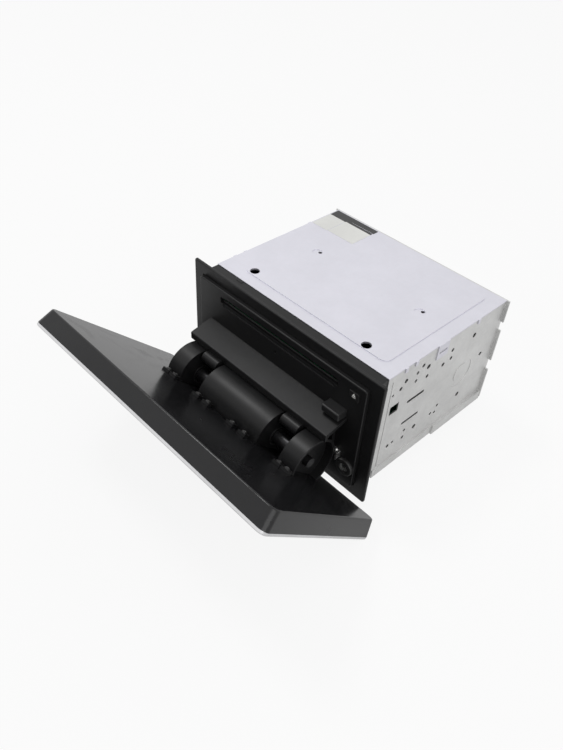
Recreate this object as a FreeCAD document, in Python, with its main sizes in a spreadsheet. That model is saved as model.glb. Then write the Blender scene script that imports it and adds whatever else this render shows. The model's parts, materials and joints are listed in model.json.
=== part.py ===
import FreeCAD, Part
import math
import os

import Sketcher
from FreeCAD import Placement, Rotation, Vector

# Car disc player for a double-height dashboard opening, with a large screen on a tilting hinge.
# Frame: millimetres, X to the right seen from the front, Y into the dashboard, Z up.
# The origin is the centre of the dashboard opening, on the rear face of the trim flange.

doc = FreeCAD.newDocument("car_disc_player")

# Driving sizes
SIZE_ROWS = [
    ("box_wide", 178, "metal box, the standard width of a double-height unit"),
    ("box_high", 100, "metal box, the standard height of a double-height unit"),
    ("box_deep", 140, "metal box, front edge to rear edge"),
    ("box_wall", 1, "sheet of the metal box"),
    ("cover_swell", 0.6, "raised field on the top cover"),
    ("field_left", -70, "left edge of the raised field"),
    ("field_right", 77, "right edge of the raised field"),
    ("field_back", 10.5, "raised field behind the front edge of the box"),
    ("hem_high", 7, "side hem of the bottom cover"),
    ("rear_thick", 1.2, "sheet of the rear panel"),
    ("rear_lug", 2.5, "how far the rear panel stands out at each side"),
    ("bolt_y", 75, "side bolts, middle of the pattern behind the front edge of the box"),
    ("bolt_z", 4.5, "side bolts, middle of the pattern"),
    ("bolt_step_y", 56, "side bolts, spacing along the box"),
    ("bolt_step_z", 61, "side bolts, spacing up the box"),
    ("bolt_hole", 2.1, "side bolts, radius of the tapped hole"),
    ("nose_deep", 13.5, "plastic nose, from the trim flange to the metal box"),
    ("nose_wall", 3.5, "plastic nose, wall"),
    ("nose_step", 0.5, "how far the nose stands inside the outline of the box"),
    ("flange_wide", 196, "trim flange"),
    ("flange_high", 116.4, "trim flange"),
    ("flange_drop", 1.1, "middle of the flange below the middle of the box"),
    ("flange_thick", 2.5, "trim flange"),
    ("flange_seat", 0.8, "how deep the nose sits in the rear of the flange"),
    ("face_wide", 174, "face panel"),
    ("face_top", 48, "top edge of the face panel"),
    ("face_bottom", -48.6, "bottom edge of the face panel"),
    ("face_proud", 6, "front of the face panel ahead of the rear of the flange"),
    ("face_thick", 3, "face panel"),
    ("face_rim", 2.6, "side walls of the face panel"),
    ("port_inset", 7.8, "small round socket, inside the right edge of the face panel"),
    ("slot_wide", 124, "disc slot"),
    ("slot_high", 5, "disc slot"),
    ("slot_z", 39, "height of the disc slot and of the disc itself"),
    ("felt_thick", 0.8, "dust strips behind the slot"),
    ("shelf_wide", 148, "hinge pedestal, shelf"),
    ("shelf_front", 26.5, "shelf, front edge ahead of the rear of the flange"),
    ("shelf_top", 10.5, "shelf, top of the front edge"),
    ("shelf_rise", 4.5, "shelf, rise from its front edge to the face"),
    ("shelf_lip", 6, "shelf, height of the front lip"),
    ("shelf_thick", 3, "shelf, plate"),
    ("arm_wide", 16.5, "pedestal arm"),
    ("nose_rad", 4.8, "rounded nose above each hinge eye"),
    ("hinge_y", -32, "hinge axis"),
    ("hinge_z", -18, "hinge axis"),
    ("hump_rad", 22, "drum and knuckles on the back of the screen"),
    ("drum_half", 33.25, "drum, half length"),
    ("knuckle_in", 55.25, "inner end of each knuckle"),
    ("knuckle_out", 70.7, "outer end of each knuckle"),
    ("end_recess", 7, "recess in the outer end of each knuckle"),
    ("hump_wall", 2, "drum and knuckles, curved wall"),
    ("hump_end", 2.5, "drum and knuckles, end walls"),
    ("eye_rad", 6.2, "fixed hinge eye"),
    ("shaft_rad", 4, "hinge shaft"),
    ("leaf_thick", 4, "tongue of the fixed hinge leaf"),
    ("bush_wall", 2, "hinge bush, wall"),
    ("bush_flange", 0.7, "hinge bush, thrust flange"),
    ("screen_wide", 245.3, "screen housing, at the glass"),
    ("screen_high", 150.7, "screen housing, at the glass"),
    ("screen_deep", 13.4, "screen housing, back to front"),
    ("screen_draft", 12, "slope of the housing sides in degrees"),
    ("screen_wall", 2.2, "screen housing, wall"),
    ("screen_corner", 6, "corner radius of the housing"),
    ("screen_shift", -3, "middle of the screen to the left of the box"),
    ("screen_tilt", 45.75, "tilt of the screen from upright in degrees"),
    ("screen_gap", 10.45, "hinge axis behind the back of the screen"),
    ("screen_up", 33.1, "middle of the screen above the hinge axis"),
    ("rim_thick", 2.4, "metal rim round the glass"),
    ("rim_wide", 3.6, "metal rim, seen from the front"),
    ("glass_thick", 1.8, "touch glass"),
    ("panel_thick", 5, "display panel with its light guide"),
    ("board_thick", 1.6, "circuit boards"),
    ("disc_y", 73.5, "middle of the playing disc behind the front edge of the box"),
    ("loader_wide", 146, "loader bracket, over its side walls"),
    ("loader_low", 16, "underside of the loader bracket"),
    ("deck_inset", 8, "side plates of the loader deck inside those of the bracket"),
    ("deck_z", 23, "underside of the loader deck"),
    ("roller_rad", 4, "feed roller"),
    ("roller_end", 5, "feed roller, each end short of the side plates of the deck"),
    ("roller_y", 8.5, "feed roller axis behind the front edge of the box"),
    ("roller_drop", 6.6, "feed roller axis below the disc"),
    ("pin_rad", 1.5, "roller shaft, gear pins and guide rods"),
    ("gear_module", 0.8, "loading gears"),
    ("gear_thick", 3, "loading gears"),
    ("rod_step", 18, "guide rods either side of the disc middle"),
    ("screw_rad", 1.5, "small screws"),
    ("head_rad", 2.8, "small screw heads"),
    ("head_high", 1.4, "small screw heads"),
    ("fit_gap", 0.05, "running and seating fits, on the radius"),
    ("loose_gap", 0.3, "clearance round parts that move"),
]


class Size:
    """A length that knows its number and the sheet expression it comes from."""

    def __init__(self, value, text):
        self.value = float(value)
        self.text = text

    def _join(self, sign, other, value):
        return Size(value, f"({self.text} {sign} {plain(other).text})")

    def __add__(self, other):
        return self._join("+", other, self.value + plain(other).value)

    def __sub__(self, other):
        return self._join("-", other, self.value - plain(other).value)

    def __mul__(self, other):
        return self._join("*", other, self.value * plain(other).value)

    def __truediv__(self, other):
        return self._join("/", other, self.value / plain(other).value)

    def __radd__(self, other):
        return plain(other) + self

    def __rsub__(self, other):
        return plain(other) - self

    def __rmul__(self, other):
        return plain(other) * self

    def __neg__(self):
        return Size(-self.value, f"(0 - {self.text})")

    def root(self):
        """Square root of the size."""
        return Size(math.sqrt(self.value), f"sqrt({self.text})")


def plain(value):
    """Give a bare number the same form as a size."""
    return value if isinstance(value, Size) else Size(value, repr(float(value)))


class SizeBook:
    """The driving sizes by name, as the sheet holds them."""


sheet = doc.addObject("Spreadsheet::Sheet", "Sizes")
book = SizeBook()
for row, (alias, number, note) in enumerate(SIZE_ROWS, start=1):
    sheet.set(f"A{row}", alias)
    sheet.set(f"B{row}", str(number))
    sheet.set(f"C{row}", note)
    sheet.setAlias(f"B{row}", alias)
    setattr(book, alias, Size(number, f"Sizes.{alias}"))
doc.recompute()

NODES = []
NORMAL = {"XY": 1, "XZ": -1, "YZ": 1}
AXIS_TURN = {
    "X": Rotation(Vector(0, 1, 0), 90),
    "Y": Rotation(Vector(1, 0, 0), -90),
    "Z": Rotation(),
}


def node(label, target):
    """Name one finished piece and list it for writing."""
    target.Label = label
    NODES.append((label, target))
    return target


def bind_place(target, x, y, z):
    """Tie the place of an object to its sizes."""
    target.setExpression("Placement.Base.x", plain(x).text)
    target.setExpression("Placement.Base.y", plain(y).text)
    target.setExpression("Placement.Base.z", plain(z).text)


def polygon(*points):
    """Closed outline through points of the sketch plane."""
    return ("polygon", points)


def rectangle(low_u, high_u, low_v, high_v):
    """Closed rectangle between two limits in each direction."""
    return polygon((low_u, low_v), (high_u, low_v), (high_u, high_v), (low_u, high_v))


def circle(u, v, radius):
    """Closed circle."""
    return ("circle", (u, v, radius))


def draw(sketch, shapes):
    """Draw outlines in a sketch and tie every corner, centre and radius to its sizes."""
    count = 0
    for kind, data in shapes:
        if kind == "polygon":
            spots = [Vector(plain(u).value, plain(v).value, 0) for u, v in data]
            total = len(spots)
            for index, spot in enumerate(spots):
                sketch.addGeometry(Part.LineSegment(spot, spots[(index + 1) % total]), False)
            for index in range(total):
                after = (index + 1) % total
                sketch.addConstraint(
                    Sketcher.Constraint("Coincident", count + index, 2, count + after, 1)
                )
            for index, (u, v) in enumerate(data):
                for axis, size in (("DistanceX", plain(u)), ("DistanceY", plain(v))):
                    rule = Sketcher.Constraint(axis, -1, 1, count + index, 1, size.value)
                    number = sketch.addConstraint(rule)
                    sketch.setExpression(f"Constraints[{number}]", size.text)
            count += total
        else:
            u, v, radius = (plain(item) for item in data)
            ring = Part.Circle(Vector(u.value, v.value, 0), Vector(0, 0, 1), radius.value)
            sketch.addGeometry(ring, False)
            number = sketch.addConstraint(Sketcher.Constraint("Radius", count, radius.value))
            sketch.setExpression(f"Constraints[{number}]", radius.text)
            for axis, size in (("DistanceX", u), ("DistanceY", v)):
                rule = Sketcher.Constraint(axis, -1, 1, count, 3, size.value)
                number = sketch.addConstraint(rule)
                sketch.setExpression(f"Constraints[{number}]", size.text)
            count += 1


def new_body(label):
    """Start one piece as a body of its own."""
    return node(label, doc.addObject("PartDesign::Body", label))


def new_sketch(body, plane, at, shapes):
    """Sketch on one of the body's own origin planes, moved out to a given distance."""
    face = next(item for item in body.Origin.OriginFeatures if item.Role == f"{plane}_Plane")
    sketch = body.newObject("Sketcher::SketchObject", f"{body.Name}_outline")
    sketch.AttachmentSupport = [(face, "")]
    sketch.MapMode = "FlatFace"
    draw(sketch, shapes)
    sketch.setExpression("AttachmentOffset.Base.z", (plain(at) * NORMAL[plane]).text)
    return sketch


def pad(body, plane, start, stop, *shapes, draft=None):
    """Add material between two distances along the normal of a plane."""
    sketch = new_sketch(body, plane, start, shapes)
    feature = body.newObject("PartDesign::Pad", f"{body.Name}_pad")
    feature.Profile = sketch
    feature.Reversed = NORMAL[plane] < 0
    feature.setExpression("Length", (plain(stop) - plain(start)).text)
    if draft is not None:
        feature.setExpression("TaperAngle", plain(draft).text)
    return feature


def pocket(body, plane, start, stop, *shapes, draft=None):
    """Take material away between two distances along the normal of a plane."""
    sketch = new_sketch(body, plane, start, shapes)
    feature = body.newObject("PartDesign::Pocket", f"{body.Name}_pocket")
    feature.Profile = sketch
    feature.Reversed = NORMAL[plane] > 0
    feature.setExpression("Length", (plain(stop) - plain(start)).text)
    if draft is not None:
        feature.setExpression("TaperAngle", plain(draft).text)
    return feature


def outer_edges(shape, axis):
    """Names of the straight edges along one axis at the corners of the bounding box."""
    box = shape.BoundBox
    limits = ((box.XMin, box.XMax), (box.YMin, box.YMax), (box.ZMin, box.ZMax))
    names = []
    for number, edge in enumerate(shape.Edges, start=1):
        if edge.Curve.TypeId != "Part::GeomLine":
            continue
        first, last = edge.Vertexes[0].Point, edge.Vertexes[-1].Point
        across = [index for index in range(3) if index != axis]
        if any(abs(first[index] - last[index]) > 1e-6 for index in across):
            continue
        if all(min(abs(first[index] - end) for end in limits[index]) < 1e-4 for index in across):
            names.append(f"Edge{number}")
    return names


def rim_edges(shape, axis, level):
    """Names of the outer edges that lie in a plane square to one axis."""
    box = shape.BoundBox
    limits = ((box.XMin, box.XMax), (box.YMin, box.YMax), (box.ZMin, box.ZMax))
    across = [index for index in range(3) if index != axis]
    names = []
    for number, edge in enumerate(shape.Edges, start=1):
        spots = [vertex.Point for vertex in edge.Vertexes]
        if any(abs(spot[axis] - level) > 1e-4 for spot in spots):
            continue
        for index in across:
            for end in limits[index]:
                if all(abs(spot[index] - end) < 1e-4 for spot in spots):
                    names.append(f"Edge{number}")
    return sorted(set(names))


def soften(body, kind, feature, edges, size):
    """Fillet or chamfer the named edges of a body's last feature."""
    dressing = body.newObject(f"PartDesign::{kind}", f"{body.Name}_{kind.lower()}")
    dressing.Base = (feature, edges)
    dressing.setExpression("Radius" if kind == "Fillet" else "Size", plain(size).text)
    doc.recompute()
    return dressing


def rod(axis, x, y, z, radius, length):
    """Cylinder that starts at a point and runs along one axis."""
    piece = doc.addObject("Part::Cylinder", "rod")
    piece.Placement = Placement(Vector(), AXIS_TURN[axis])
    piece.setExpression("Radius", plain(radius).text)
    piece.setExpression("Height", plain(length).text)
    bind_place(piece, x, y, z)
    return piece


def block(low_x, high_x, low_y, high_y, low_z, high_z):
    """Box between two limits on each axis."""
    piece = doc.addObject("Part::Box", "block")
    piece.setExpression("Length", (plain(high_x) - plain(low_x)).text)
    piece.setExpression("Width", (plain(high_y) - plain(low_y)).text)
    piece.setExpression("Height", (plain(high_z) - plain(low_z)).text)
    bind_place(piece, low_x, low_y, low_z)
    return piece


def fused(parts):
    """Join primitives into one solid."""
    piece = doc.addObject("Part::MultiFuse", "joined")
    piece.Shapes = parts
    return piece


def cut(base, tools):
    """Take primitives away from one solid."""
    piece = doc.addObject("Part::Cut", "cut")
    piece.Base = base
    piece.Tool = tools[0] if len(tools) == 1 else fused(tools)
    return piece


def grouped(label, parts):
    """Put separate solids of one kind in one node."""
    piece = doc.addObject("Part::Compound", label)
    piece.Links = parts
    return node(label, piece)


def screw(axis, x, y, z, shank, inward, radius=book.screw_rad, head=book.head_rad):
    """Screw whose head stands on a face, with its shank running inward along the axis."""
    high = book.head_high
    tip = plain(shank) * inward
    start = {"X": x, "Y": y, "Z": z}
    low_head = dict(start)
    low_shank = dict(start)
    if inward > 0:
        low_head[axis] = plain(start[axis]) - high
    else:
        low_shank[axis] = plain(start[axis]) + tip
    shank_rod = rod(axis, low_shank["X"], low_shank["Y"], low_shank["Z"], radius, shank)
    head_rod = rod(axis, low_head["X"], low_head["Y"], low_head["Z"], head, high)
    return fused([shank_rod, head_rod])


# Levels and edges that several pieces share
half_wide = book.box_wide / 2
half_high = book.box_high / 2
front = book.nose_deep
rear = book.nose_deep + book.box_deep
inner_x = half_wide - book.box_wall
floor_z = book.box_wall - half_high
roof_z = half_high - book.box_wall
rear_face = rear + book.rear_thick
face_front = -book.face_proud
face_back = face_front + book.face_thick
disc_mid = front + book.disc_y
hole_rad = book.screw_rad + book.fit_gap
bolt_mid = front + book.bolt_y
BOLT_SPOTS = [
    (bolt_mid + side * book.bolt_step_y / 2, book.bolt_z + level * book.bolt_step_z / 2)
    for side in (-1, 1)
    for level in (-1, 1)
]

MAIN_BOARD_Z = -30

# Metal box

# Small holes of the side walls, as distance behind the front edge, height and radius
WALL_HOLES = [
    (8.5, 29.8, 1.1),
    (16.7, 31.4, 1.7),
    (21.5, 36.1, 1.9),
    (34.1, 28.7, 1.5),
    (34.2, 36.2, 1.5),
    (39.8, 40, 1.7),
    (47.8, 25.5, 1.6),
    (66.7, 25.9, 1.8),
    (76.2, 27, 1.6),
    (75.8, 34.9, 1.7),
    (122.2, 6.5, 1.8),
    (67.4, -25.5, 1.4),
    (73.2, -27.6, 1.3),
    (74.9, -21, 1.4),
    (34.1, -21.5, 1.4),
    (33.7, -29, 1.5),
    (15.3, -25.9, 1.6),
    (21, -25.6, 1.3),
]


# Oblong windows of the side walls, as distances behind the front edge and heights
WALL_WINDOWS = [
    (8.5, 18, 10, 18),
    (29, 48.5, 9.6, 12),
    (28, 47.5, -12, -9.8),
    (55.5, 65.5, 39, 41.5),
]
BOSS_BACK = 98
BOSS_LEVEL = 0
BOSS_RADII = (13, 8.5)
BEND_BACK = 5
BEND_SPAN = (-42, 44)
PRESSED_DEEP = 0.4
REAR_EAR = 8
EAR_DROP = 4
CORNER_INSET = 4
CORNER_LEVELS = (-38, 38)
BOARD_STUD_RAD = 3
BOARD_STUD_X = 76
BOARD_STUD_BACKS = (14, 66, 118)

# Vent slots of the floor and the bottom cover
VENT_LEFTS = (-60, -17, 26)
VENT_BACKS = (88, 96, 104, 112)
VENT_LONG = 34
VENT_WIDE = 3


def corner_spots():
    """Screws that hold the rear panel to the ears of the tray."""
    return [(side * (inner_x - CORNER_INSET), level) for side in (-1, 1) for level in CORNER_LEVELS]


def vent_slots():
    """Rows of slots under the rear half of the box."""
    return [
        rectangle(left, left + VENT_LONG, front + back, front + back + VENT_WIDE)
        for left in VENT_LEFTS
        for back in VENT_BACKS
    ]


def make_tray():
    """Bottom and both sides of the box, folded from one sheet, with its holes and slots."""
    body = new_body("chassis_tray")
    pad(
        body,
        "XZ",
        front,
        rear,
        polygon(
            (-half_wide, -half_high),
            (half_wide, -half_high),
            (half_wide, roof_z),
            (inner_x, roof_z),
            (inner_x, floor_z),
            (-inner_x, floor_z),
            (-inner_x, roof_z),
            (-half_wide, roof_z),
        ),
    )
    ear_top = roof_z - EAR_DROP
    pad(
        body,
        "XZ",
        rear - book.box_wall,
        rear,
        rectangle(inner_x - REAR_EAR, inner_x, floor_z, ear_top),
        rectangle(-inner_x, REAR_EAR - inner_x, floor_z, ear_top),
    )
    holes = [circle(y, z, book.bolt_hole) for y, z in BOLT_SPOTS]
    holes += [circle(front + back, level, radius) for back, level, radius in WALL_HOLES]
    holes += [rectangle(front + near, front + far, low, high) for near, far, low, high in WALL_WINDOWS]
    pocket(body, "YZ", -half_wide - 1, half_wide + 1, *holes)
    # Pressed studs under the main board
    studs = [
        circle(side * BOARD_STUD_X, front + back, BOARD_STUD_RAD)
        for side in (-1, 1)
        for back in BOARD_STUD_BACKS
    ]
    pad(body, "XY", floor_z, MAIN_BOARD_Z, *studs)
    # Ring pressed round a boss, and the line of the front joggle
    pressed = [circle(front + BOSS_BACK, BOSS_LEVEL, radius) for radius in BOSS_RADII]
    joggle_end = front + BEND_BACK + PRESSED_DEEP * 2
    pressed.append(rectangle(front + BEND_BACK, joggle_end, *BEND_SPAN))
    pocket(body, "YZ", half_wide - PRESSED_DEEP, half_wide, *pressed)
    pocket(body, "YZ", -half_wide, PRESSED_DEEP - half_wide, *pressed)
    pocket(body, "XY", -half_high, floor_z, *vent_slots())
    spots = [circle(x, level, hole_rad) for x, level in corner_spots()]
    pocket(body, "XZ", rear - book.box_wall, rear, *spots)


COVER_FLAP = 8
FLAP_INSET = 4
FIELD_REAR = 8
FIELD_CORNER = 6
# Along X and behind the front edge of the box
OPEN_HOLES = [(-62, 15.3), (55.5, 14.6)]
OPEN_RAD = 3.9
SEAT_HOLES = [(-49, 75.5), (56.5, 77)]
SEATS = [(-50.5, 73.8), (55.2, 74.6)]
SEAT_RAD = 4.4
SEAT_DEEP = 0.5
TAB_THICK = 0.8
TAB_BACKS = (17, 28, 102)
TAB_WIDE = 3
TAB_LONG = 4
CLIP_SPAN = (54, 67)
CLIP_LONG = 13
CLIP_WINDOW = (56, 65, 41.8, 44)
HEM_START = 1
HEM_STEP_BACK = 74
HEM_STEP = 1.2


def make_covers():
    """Top cover with its raised field, tabs and clip, and bottom cover with its hems."""
    top = new_body("top_cover")
    pad(top, "XY", roof_z, half_high, rectangle(-half_wide, half_wide, front, rear))
    fold = book.box_wall
    flap_front = front + FLAP_INSET
    flap_rear = rear - FLAP_INSET
    pad(
        top,
        "XY",
        roof_z - COVER_FLAP,
        roof_z,
        rectangle(inner_x - fold, inner_x, flap_front, flap_rear),
        rectangle(-inner_x, fold - inner_x, flap_front, flap_rear),
    )
    field_front = front + book.field_back
    field = pad(
        top,
        "XY",
        half_high,
        half_high + book.cover_swell,
        rectangle(book.field_left, book.field_right, field_front, rear - FIELD_REAR),
    )
    doc.recompute()
    corners = []
    for number, edge in enumerate(field.Shape.Edges, start=1):
        first, last = edge.Vertexes[0].Point, edge.Vertexes[-1].Point
        upright = abs(first.x - last.x) < 1e-6 and abs(first.y - last.y) < 1e-6
        if upright and max(first.z, last.z) > half_high.value + 1e-3:
            corners.append(f"Edge{number}")
    soften(top, "Fillet", field, corners, FIELD_CORNER)
    top_face = half_high + book.cover_swell
    # Two open holes for the transport screws in front, two seats with a small hole behind
    pocket(
        top,
        "XY",
        roof_z,
        top_face,
        *[circle(x, front + back, OPEN_RAD) for x, back in OPEN_HOLES],
        *[circle(x, front + back, hole_rad) for x, back in SEAT_HOLES],
    )
    seats = [circle(x, front + back, SEAT_RAD) for x, back in SEATS]
    pocket(top, "XY", top_face - SEAT_DEEP, top_face, *seats)
    # Small tabs folded over both sides, and one wider clip on the right
    tabs = [
        rectangle(front + back, front + back + TAB_WIDE, half_high - TAB_LONG, half_high)
        for back in TAB_BACKS
    ]
    low, high = CLIP_SPAN
    clip = rectangle(front + low, front + high, half_high - CLIP_LONG, half_high)
    pad(top, "YZ", half_wide, half_wide + TAB_THICK, clip, *tabs)
    pad(top, "YZ", -half_wide - TAB_THICK, -half_wide, *tabs)
    near, far, low, high = CLIP_WINDOW
    window = rectangle(front + near, front + far, low, high)
    pocket(top, "YZ", half_wide, half_wide + TAB_THICK, window)
    bottom = new_body("bottom_cover")
    hem_in = half_wide
    hem_out = half_wide + book.box_wall
    base_low = -half_high - book.box_wall
    hem_top = base_low + book.hem_high + book.box_wall
    step_y = front + HEM_STEP_BACK
    pad(
        bottom,
        "XZ",
        front + HEM_START,
        step_y,
        polygon(
            (-hem_out, base_low),
            (hem_out, base_low),
            (hem_out, hem_top),
            (hem_in, hem_top),
            (hem_in, -half_high),
            (-hem_in, -half_high),
            (-hem_in, hem_top),
            (-hem_out, hem_top),
        ),
    )
    wide_out = hem_out + HEM_STEP
    low_rear = base_low - HEM_STEP
    pad(
        bottom,
        "XZ",
        step_y,
        rear,
        polygon(
            (-wide_out, low_rear),
            (wide_out, low_rear),
            (wide_out, hem_top),
            (hem_in, hem_top),
            (hem_in, -half_high),
            (-hem_in, -half_high),
            (-hem_in, hem_top),
            (-wide_out, hem_top),
        ),
    )
    pocket(bottom, "XY", low_rear, -half_high, *vent_slots())


# Rear panel sockets: middle along X, middle along Z, half width, half height
POWER_SPOT = (36, -26, 21, 8)
AUX_SPOT = (70, -27, 9, 5.5)
ANTENNA_SPOT = (66, 8)
ANTENNA_RAD = 7
ANTENNA_BORE = 4.6
FUSE_SPOT = (2, -26, 8, 5)
STUD_SPOT = (0, 30)
STUD_RAD = 2.5
STUD_LONG = 12
STUD_COLLAR = (5.5, 1.5)
SINK_EDGES = (-80, -20, -40, 20)
SINK_BASE = 3
FIN_COUNT = 11
FIN_WIDE = 1.6
FIN_DEEP = 11
HIGH_NOTCH = (22, 30)
LOW_NOTCH = (-19, -9)
POWER_WALL = 1.8
POWER_BODY = (14, 5)
POWER_CAVITY = 9
POWER_KEY = 4
PIN_ROWS = (-3.2, 3.2)
PIN_COUNT = 10
PIN_STEP = 3.5
PIN_HALF = 0.6
PIN_SPAN = (9, 3)
AUX_WALL = 1.5
AUX_BODY = (12, 4)
AUX_CAVITY = 7
ANTENNA_SPAN = (10, 8)
ANTENNA_COLLAR = 2
ANTENNA_SEAT = 6
FUSE_BACK = 6
# Steps of the blade fuse: start and end behind the panel, half width and half height
FUSE_STEPS = [(3, 6.5, 6.5, 2), (6.5, 9, 7.5, 2.6)]


def make_rear():
    """Rear panel with its cut-outs, heat sink, sockets, fuse, stud and screws."""
    panel = new_body("rear_panel")
    lug = half_wide + book.rear_lug
    right = [
        (lug, -half_high),
        (lug, LOW_NOTCH[0]),
        (half_wide, LOW_NOTCH[0]),
        (half_wide, LOW_NOTCH[1]),
        (lug, LOW_NOTCH[1]),
        (lug, HIGH_NOTCH[0]),
        (half_wide, HIGH_NOTCH[0]),
        (half_wide, HIGH_NOTCH[1]),
        (lug, HIGH_NOTCH[1]),
        (lug, half_high),
    ]
    left = [(-x, z) for x, z in reversed(right)]
    pad(panel, "XZ", rear, rear_face, polygon(*right, *left))
    seat = book.fit_gap
    holes = []
    for x, z, wide, high in (POWER_SPOT, AUX_SPOT, FUSE_SPOT):
        holes.append(rectangle(x - wide - seat, x + wide + seat, z - high - seat, z + high + seat))
    holes.append(circle(*ANTENNA_SPOT, ANTENNA_RAD + seat))
    holes.append(circle(*STUD_SPOT, STUD_RAD + seat))
    spots = corner_spots()
    holes += [circle(x, z, hole_rad) for x, z in spots]
    pocket(panel, "XZ", rear, rear_face, *holes)

    sink = new_body("heat_sink")
    low_x, high_x, low_z, high_z = SINK_EDGES
    base_back = rear_face + SINK_BASE
    pad(sink, "XZ", rear_face, base_back, rectangle(low_x, high_x, low_z, high_z))
    pitch = (high_x - low_x - FIN_WIDE) / (FIN_COUNT - 1)
    lefts = [low_x + index * pitch for index in range(FIN_COUNT)]
    fins = [rectangle(left, left + FIN_WIDE, low_z, high_z) for left in lefts]
    pad(sink, "XZ", base_back, base_back + FIN_DEEP, *fins)

    socket = new_body("power_socket")
    x, z, wide, high = POWER_SPOT
    inward, outward = POWER_BODY
    mouth = rear_face + outward
    pad(socket, "XZ", rear - inward, mouth, rectangle(x - wide, x + wide, z - high, z + high))
    wall = POWER_WALL
    cavity = rectangle(x - wide + wall, x + wide - wall, z - high + wall, z + high - wall)
    pocket(socket, "XZ", rear - POWER_CAVITY, mouth, cavity)
    key = rectangle(x - POWER_KEY, x + POWER_KEY, z + high - wall, z + high)
    pocket(socket, "XZ", rear_face + 1, mouth, key)
    pins = []
    for row in PIN_ROWS:
        level = z + row
        for index in range(PIN_COUNT):
            middle = x + (index - (PIN_COUNT - 1) / 2) * PIN_STEP
            pin = rectangle(middle - PIN_HALF, middle + PIN_HALF, level - PIN_HALF, level + PIN_HALF)
            pins.append(pin)
    contacts = new_body("power_pins")
    inward, tip = PIN_SPAN
    pad(contacts, "XZ", rear - inward, rear - tip, *pins)

    small = new_body("aux_socket")
    x, z, wide, high = AUX_SPOT
    inward, outward = AUX_BODY
    mouth = rear_face + outward
    pad(small, "XZ", rear - inward, mouth, rectangle(x - wide, x + wide, z - high, z + high))
    wall = AUX_WALL
    cavity = rectangle(x - wide + wall, x + wide - wall, z - high + wall, z + high - wall)
    pocket(small, "XZ", rear - AUX_CAVITY, mouth, cavity)

    antenna = new_body("antenna_socket")
    inward, outward = ANTENNA_SPAN
    mouth = rear_face + outward
    pad(antenna, "XZ", rear - inward, mouth, circle(*ANTENNA_SPOT, ANTENNA_RAD))
    collar = circle(*ANTENNA_SPOT, ANTENNA_RAD + ANTENNA_COLLAR)
    pad(antenna, "XZ", rear_face, rear_face + ANTENNA_COLLAR, collar)
    pocket(antenna, "XZ", rear_face - ANTENNA_SEAT, mouth, circle(*ANTENNA_SPOT, ANTENNA_BORE))

    fuse = new_body("blade_fuse")
    x, z, wide, high = FUSE_SPOT
    holder = rectangle(x - wide, x + wide, z - high, z + high)
    pad(fuse, "XZ", rear - FUSE_BACK, rear_face + FUSE_STEPS[0][0], holder)
    for start, stop, wide, high in FUSE_STEPS:
        step = rectangle(x - wide, x + wide, z - high, z + high)
        pad(fuse, "XZ", rear_face + start, rear_face + stop, step)

    stud = new_body("rear_stud")
    x, z = STUD_SPOT
    collar_rad, collar_high = STUD_COLLAR
    collar_top = rear_face + collar_high
    pad(stud, "XZ", rear, collar_top + STUD_LONG, circle(x, z, STUD_RAD))
    pad(stud, "XZ", rear_face, collar_top, circle(x, z, collar_rad))

    screws = [screw("Y", x, rear_face, z, book.rear_thick + book.box_wall, -1) for x, z in spots]
    grouped("rear_screws", screws)


make_tray()
make_covers()
make_rear()

# Front end

nose_x = half_wide - book.nose_step
nose_z = half_high - book.nose_step
nose_in_x = nose_x - book.nose_wall
nose_in_z = nose_z - book.nose_wall
face_x = book.face_wide / 2
face_gap = book.loose_gap
slot_x = book.slot_wide / 2
slot_low = book.slot_z - book.slot_high / 2
slot_top = book.slot_z + book.slot_high / 2
shelf_x = book.shelf_wide / 2
axis_y = book.hinge_y
axis_z = book.hinge_z
arm_mid = (book.drum_half + book.knuckle_in) / 2
board_y = plain(2)
board_back = board_y + book.board_thick
bracket_y = board_back + 0.4
bracket_back = bracket_y + 2
switch_high = 1.8
eject_x = 77.3
eject_z = 38.5
eject_half_x = 4.2
eject_half_z = 3.4
release_left = 57
release_right = 73
release_low = 15.7
release_high = 22
release_front = -15
reset_z = 27
reset_rad = 1.3
reset_stop = 2.5
port_x = face_x - book.port_inset
port_z = -31
port_rad = 4.9
port_bore = 3
port_deep = 6.5
port_floor = -1
port_wall = 1
port_collar = 2.6
collar_high = 2.5
# Small clip beside the socket: nearer and farther edge left of the socket, lower and upper edge
CLIP_SPOT = (12, 5.8, -25.6, -19)
CLIP_SCREWS = [(2, 1.8), (4.4, 5)]
CLIP_GAP = 1.2
boss_rad = 3.4
clip_thick = 1
clip_lip = 4
clip_head_rad = 1.7
clip_head_high = 1.2
face_board_inset = 5
face_board_low = -44
face_board_drop = 4
board_relief = 0.4
switch_half = 2.6
bracket_drop = 8
# Half width and half height of the cable window in the bracket
BRACKET_WINDOW = (34, 14)
SCREW_BITE = 2
FOOT_SCREW_STEPS = (-26, 21)
FOOT_SCREW_DROP = 9
HIGH_SCREW = (64, 2)
PEDESTAL_SCREWS = [
    (side * (arm_mid + step), axis_z - FOOT_SCREW_DROP)
    for side in (-1, 1)
    for step in FOOT_SCREW_STEPS
]
PEDESTAL_SCREWS += [(side * HIGH_SCREW[0], plain(HIGH_SCREW[1])) for side in (-1, 1)]
NOSE_LUG = (-63, -57, 3)
FLANGE_CORNER = 1.5
FLANGE_CHAMFER = 0.8
FACE_CORNER = 2
FACE_ROUND = 1
# Shallow ramps of the slot: inset at each end, depth, height below and above
RAMP_END = 3
RAMP_DEEP = 0.6
RAMP_LOW = 2.6
RAMP_HIGH = 1.4
FELT_LIP = 0.3
FELT_PAST = 2
FELT_HIGH = 3
KEY_PROUD = 1
KEY_REAR = -1
KEY_SLOPE = (2.2, 2.5, 1.5)
STOP_WIDE = 1.8
STOP_START = 0.4
STOP_END = -1.2
CAP_REAR = -2.2


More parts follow.
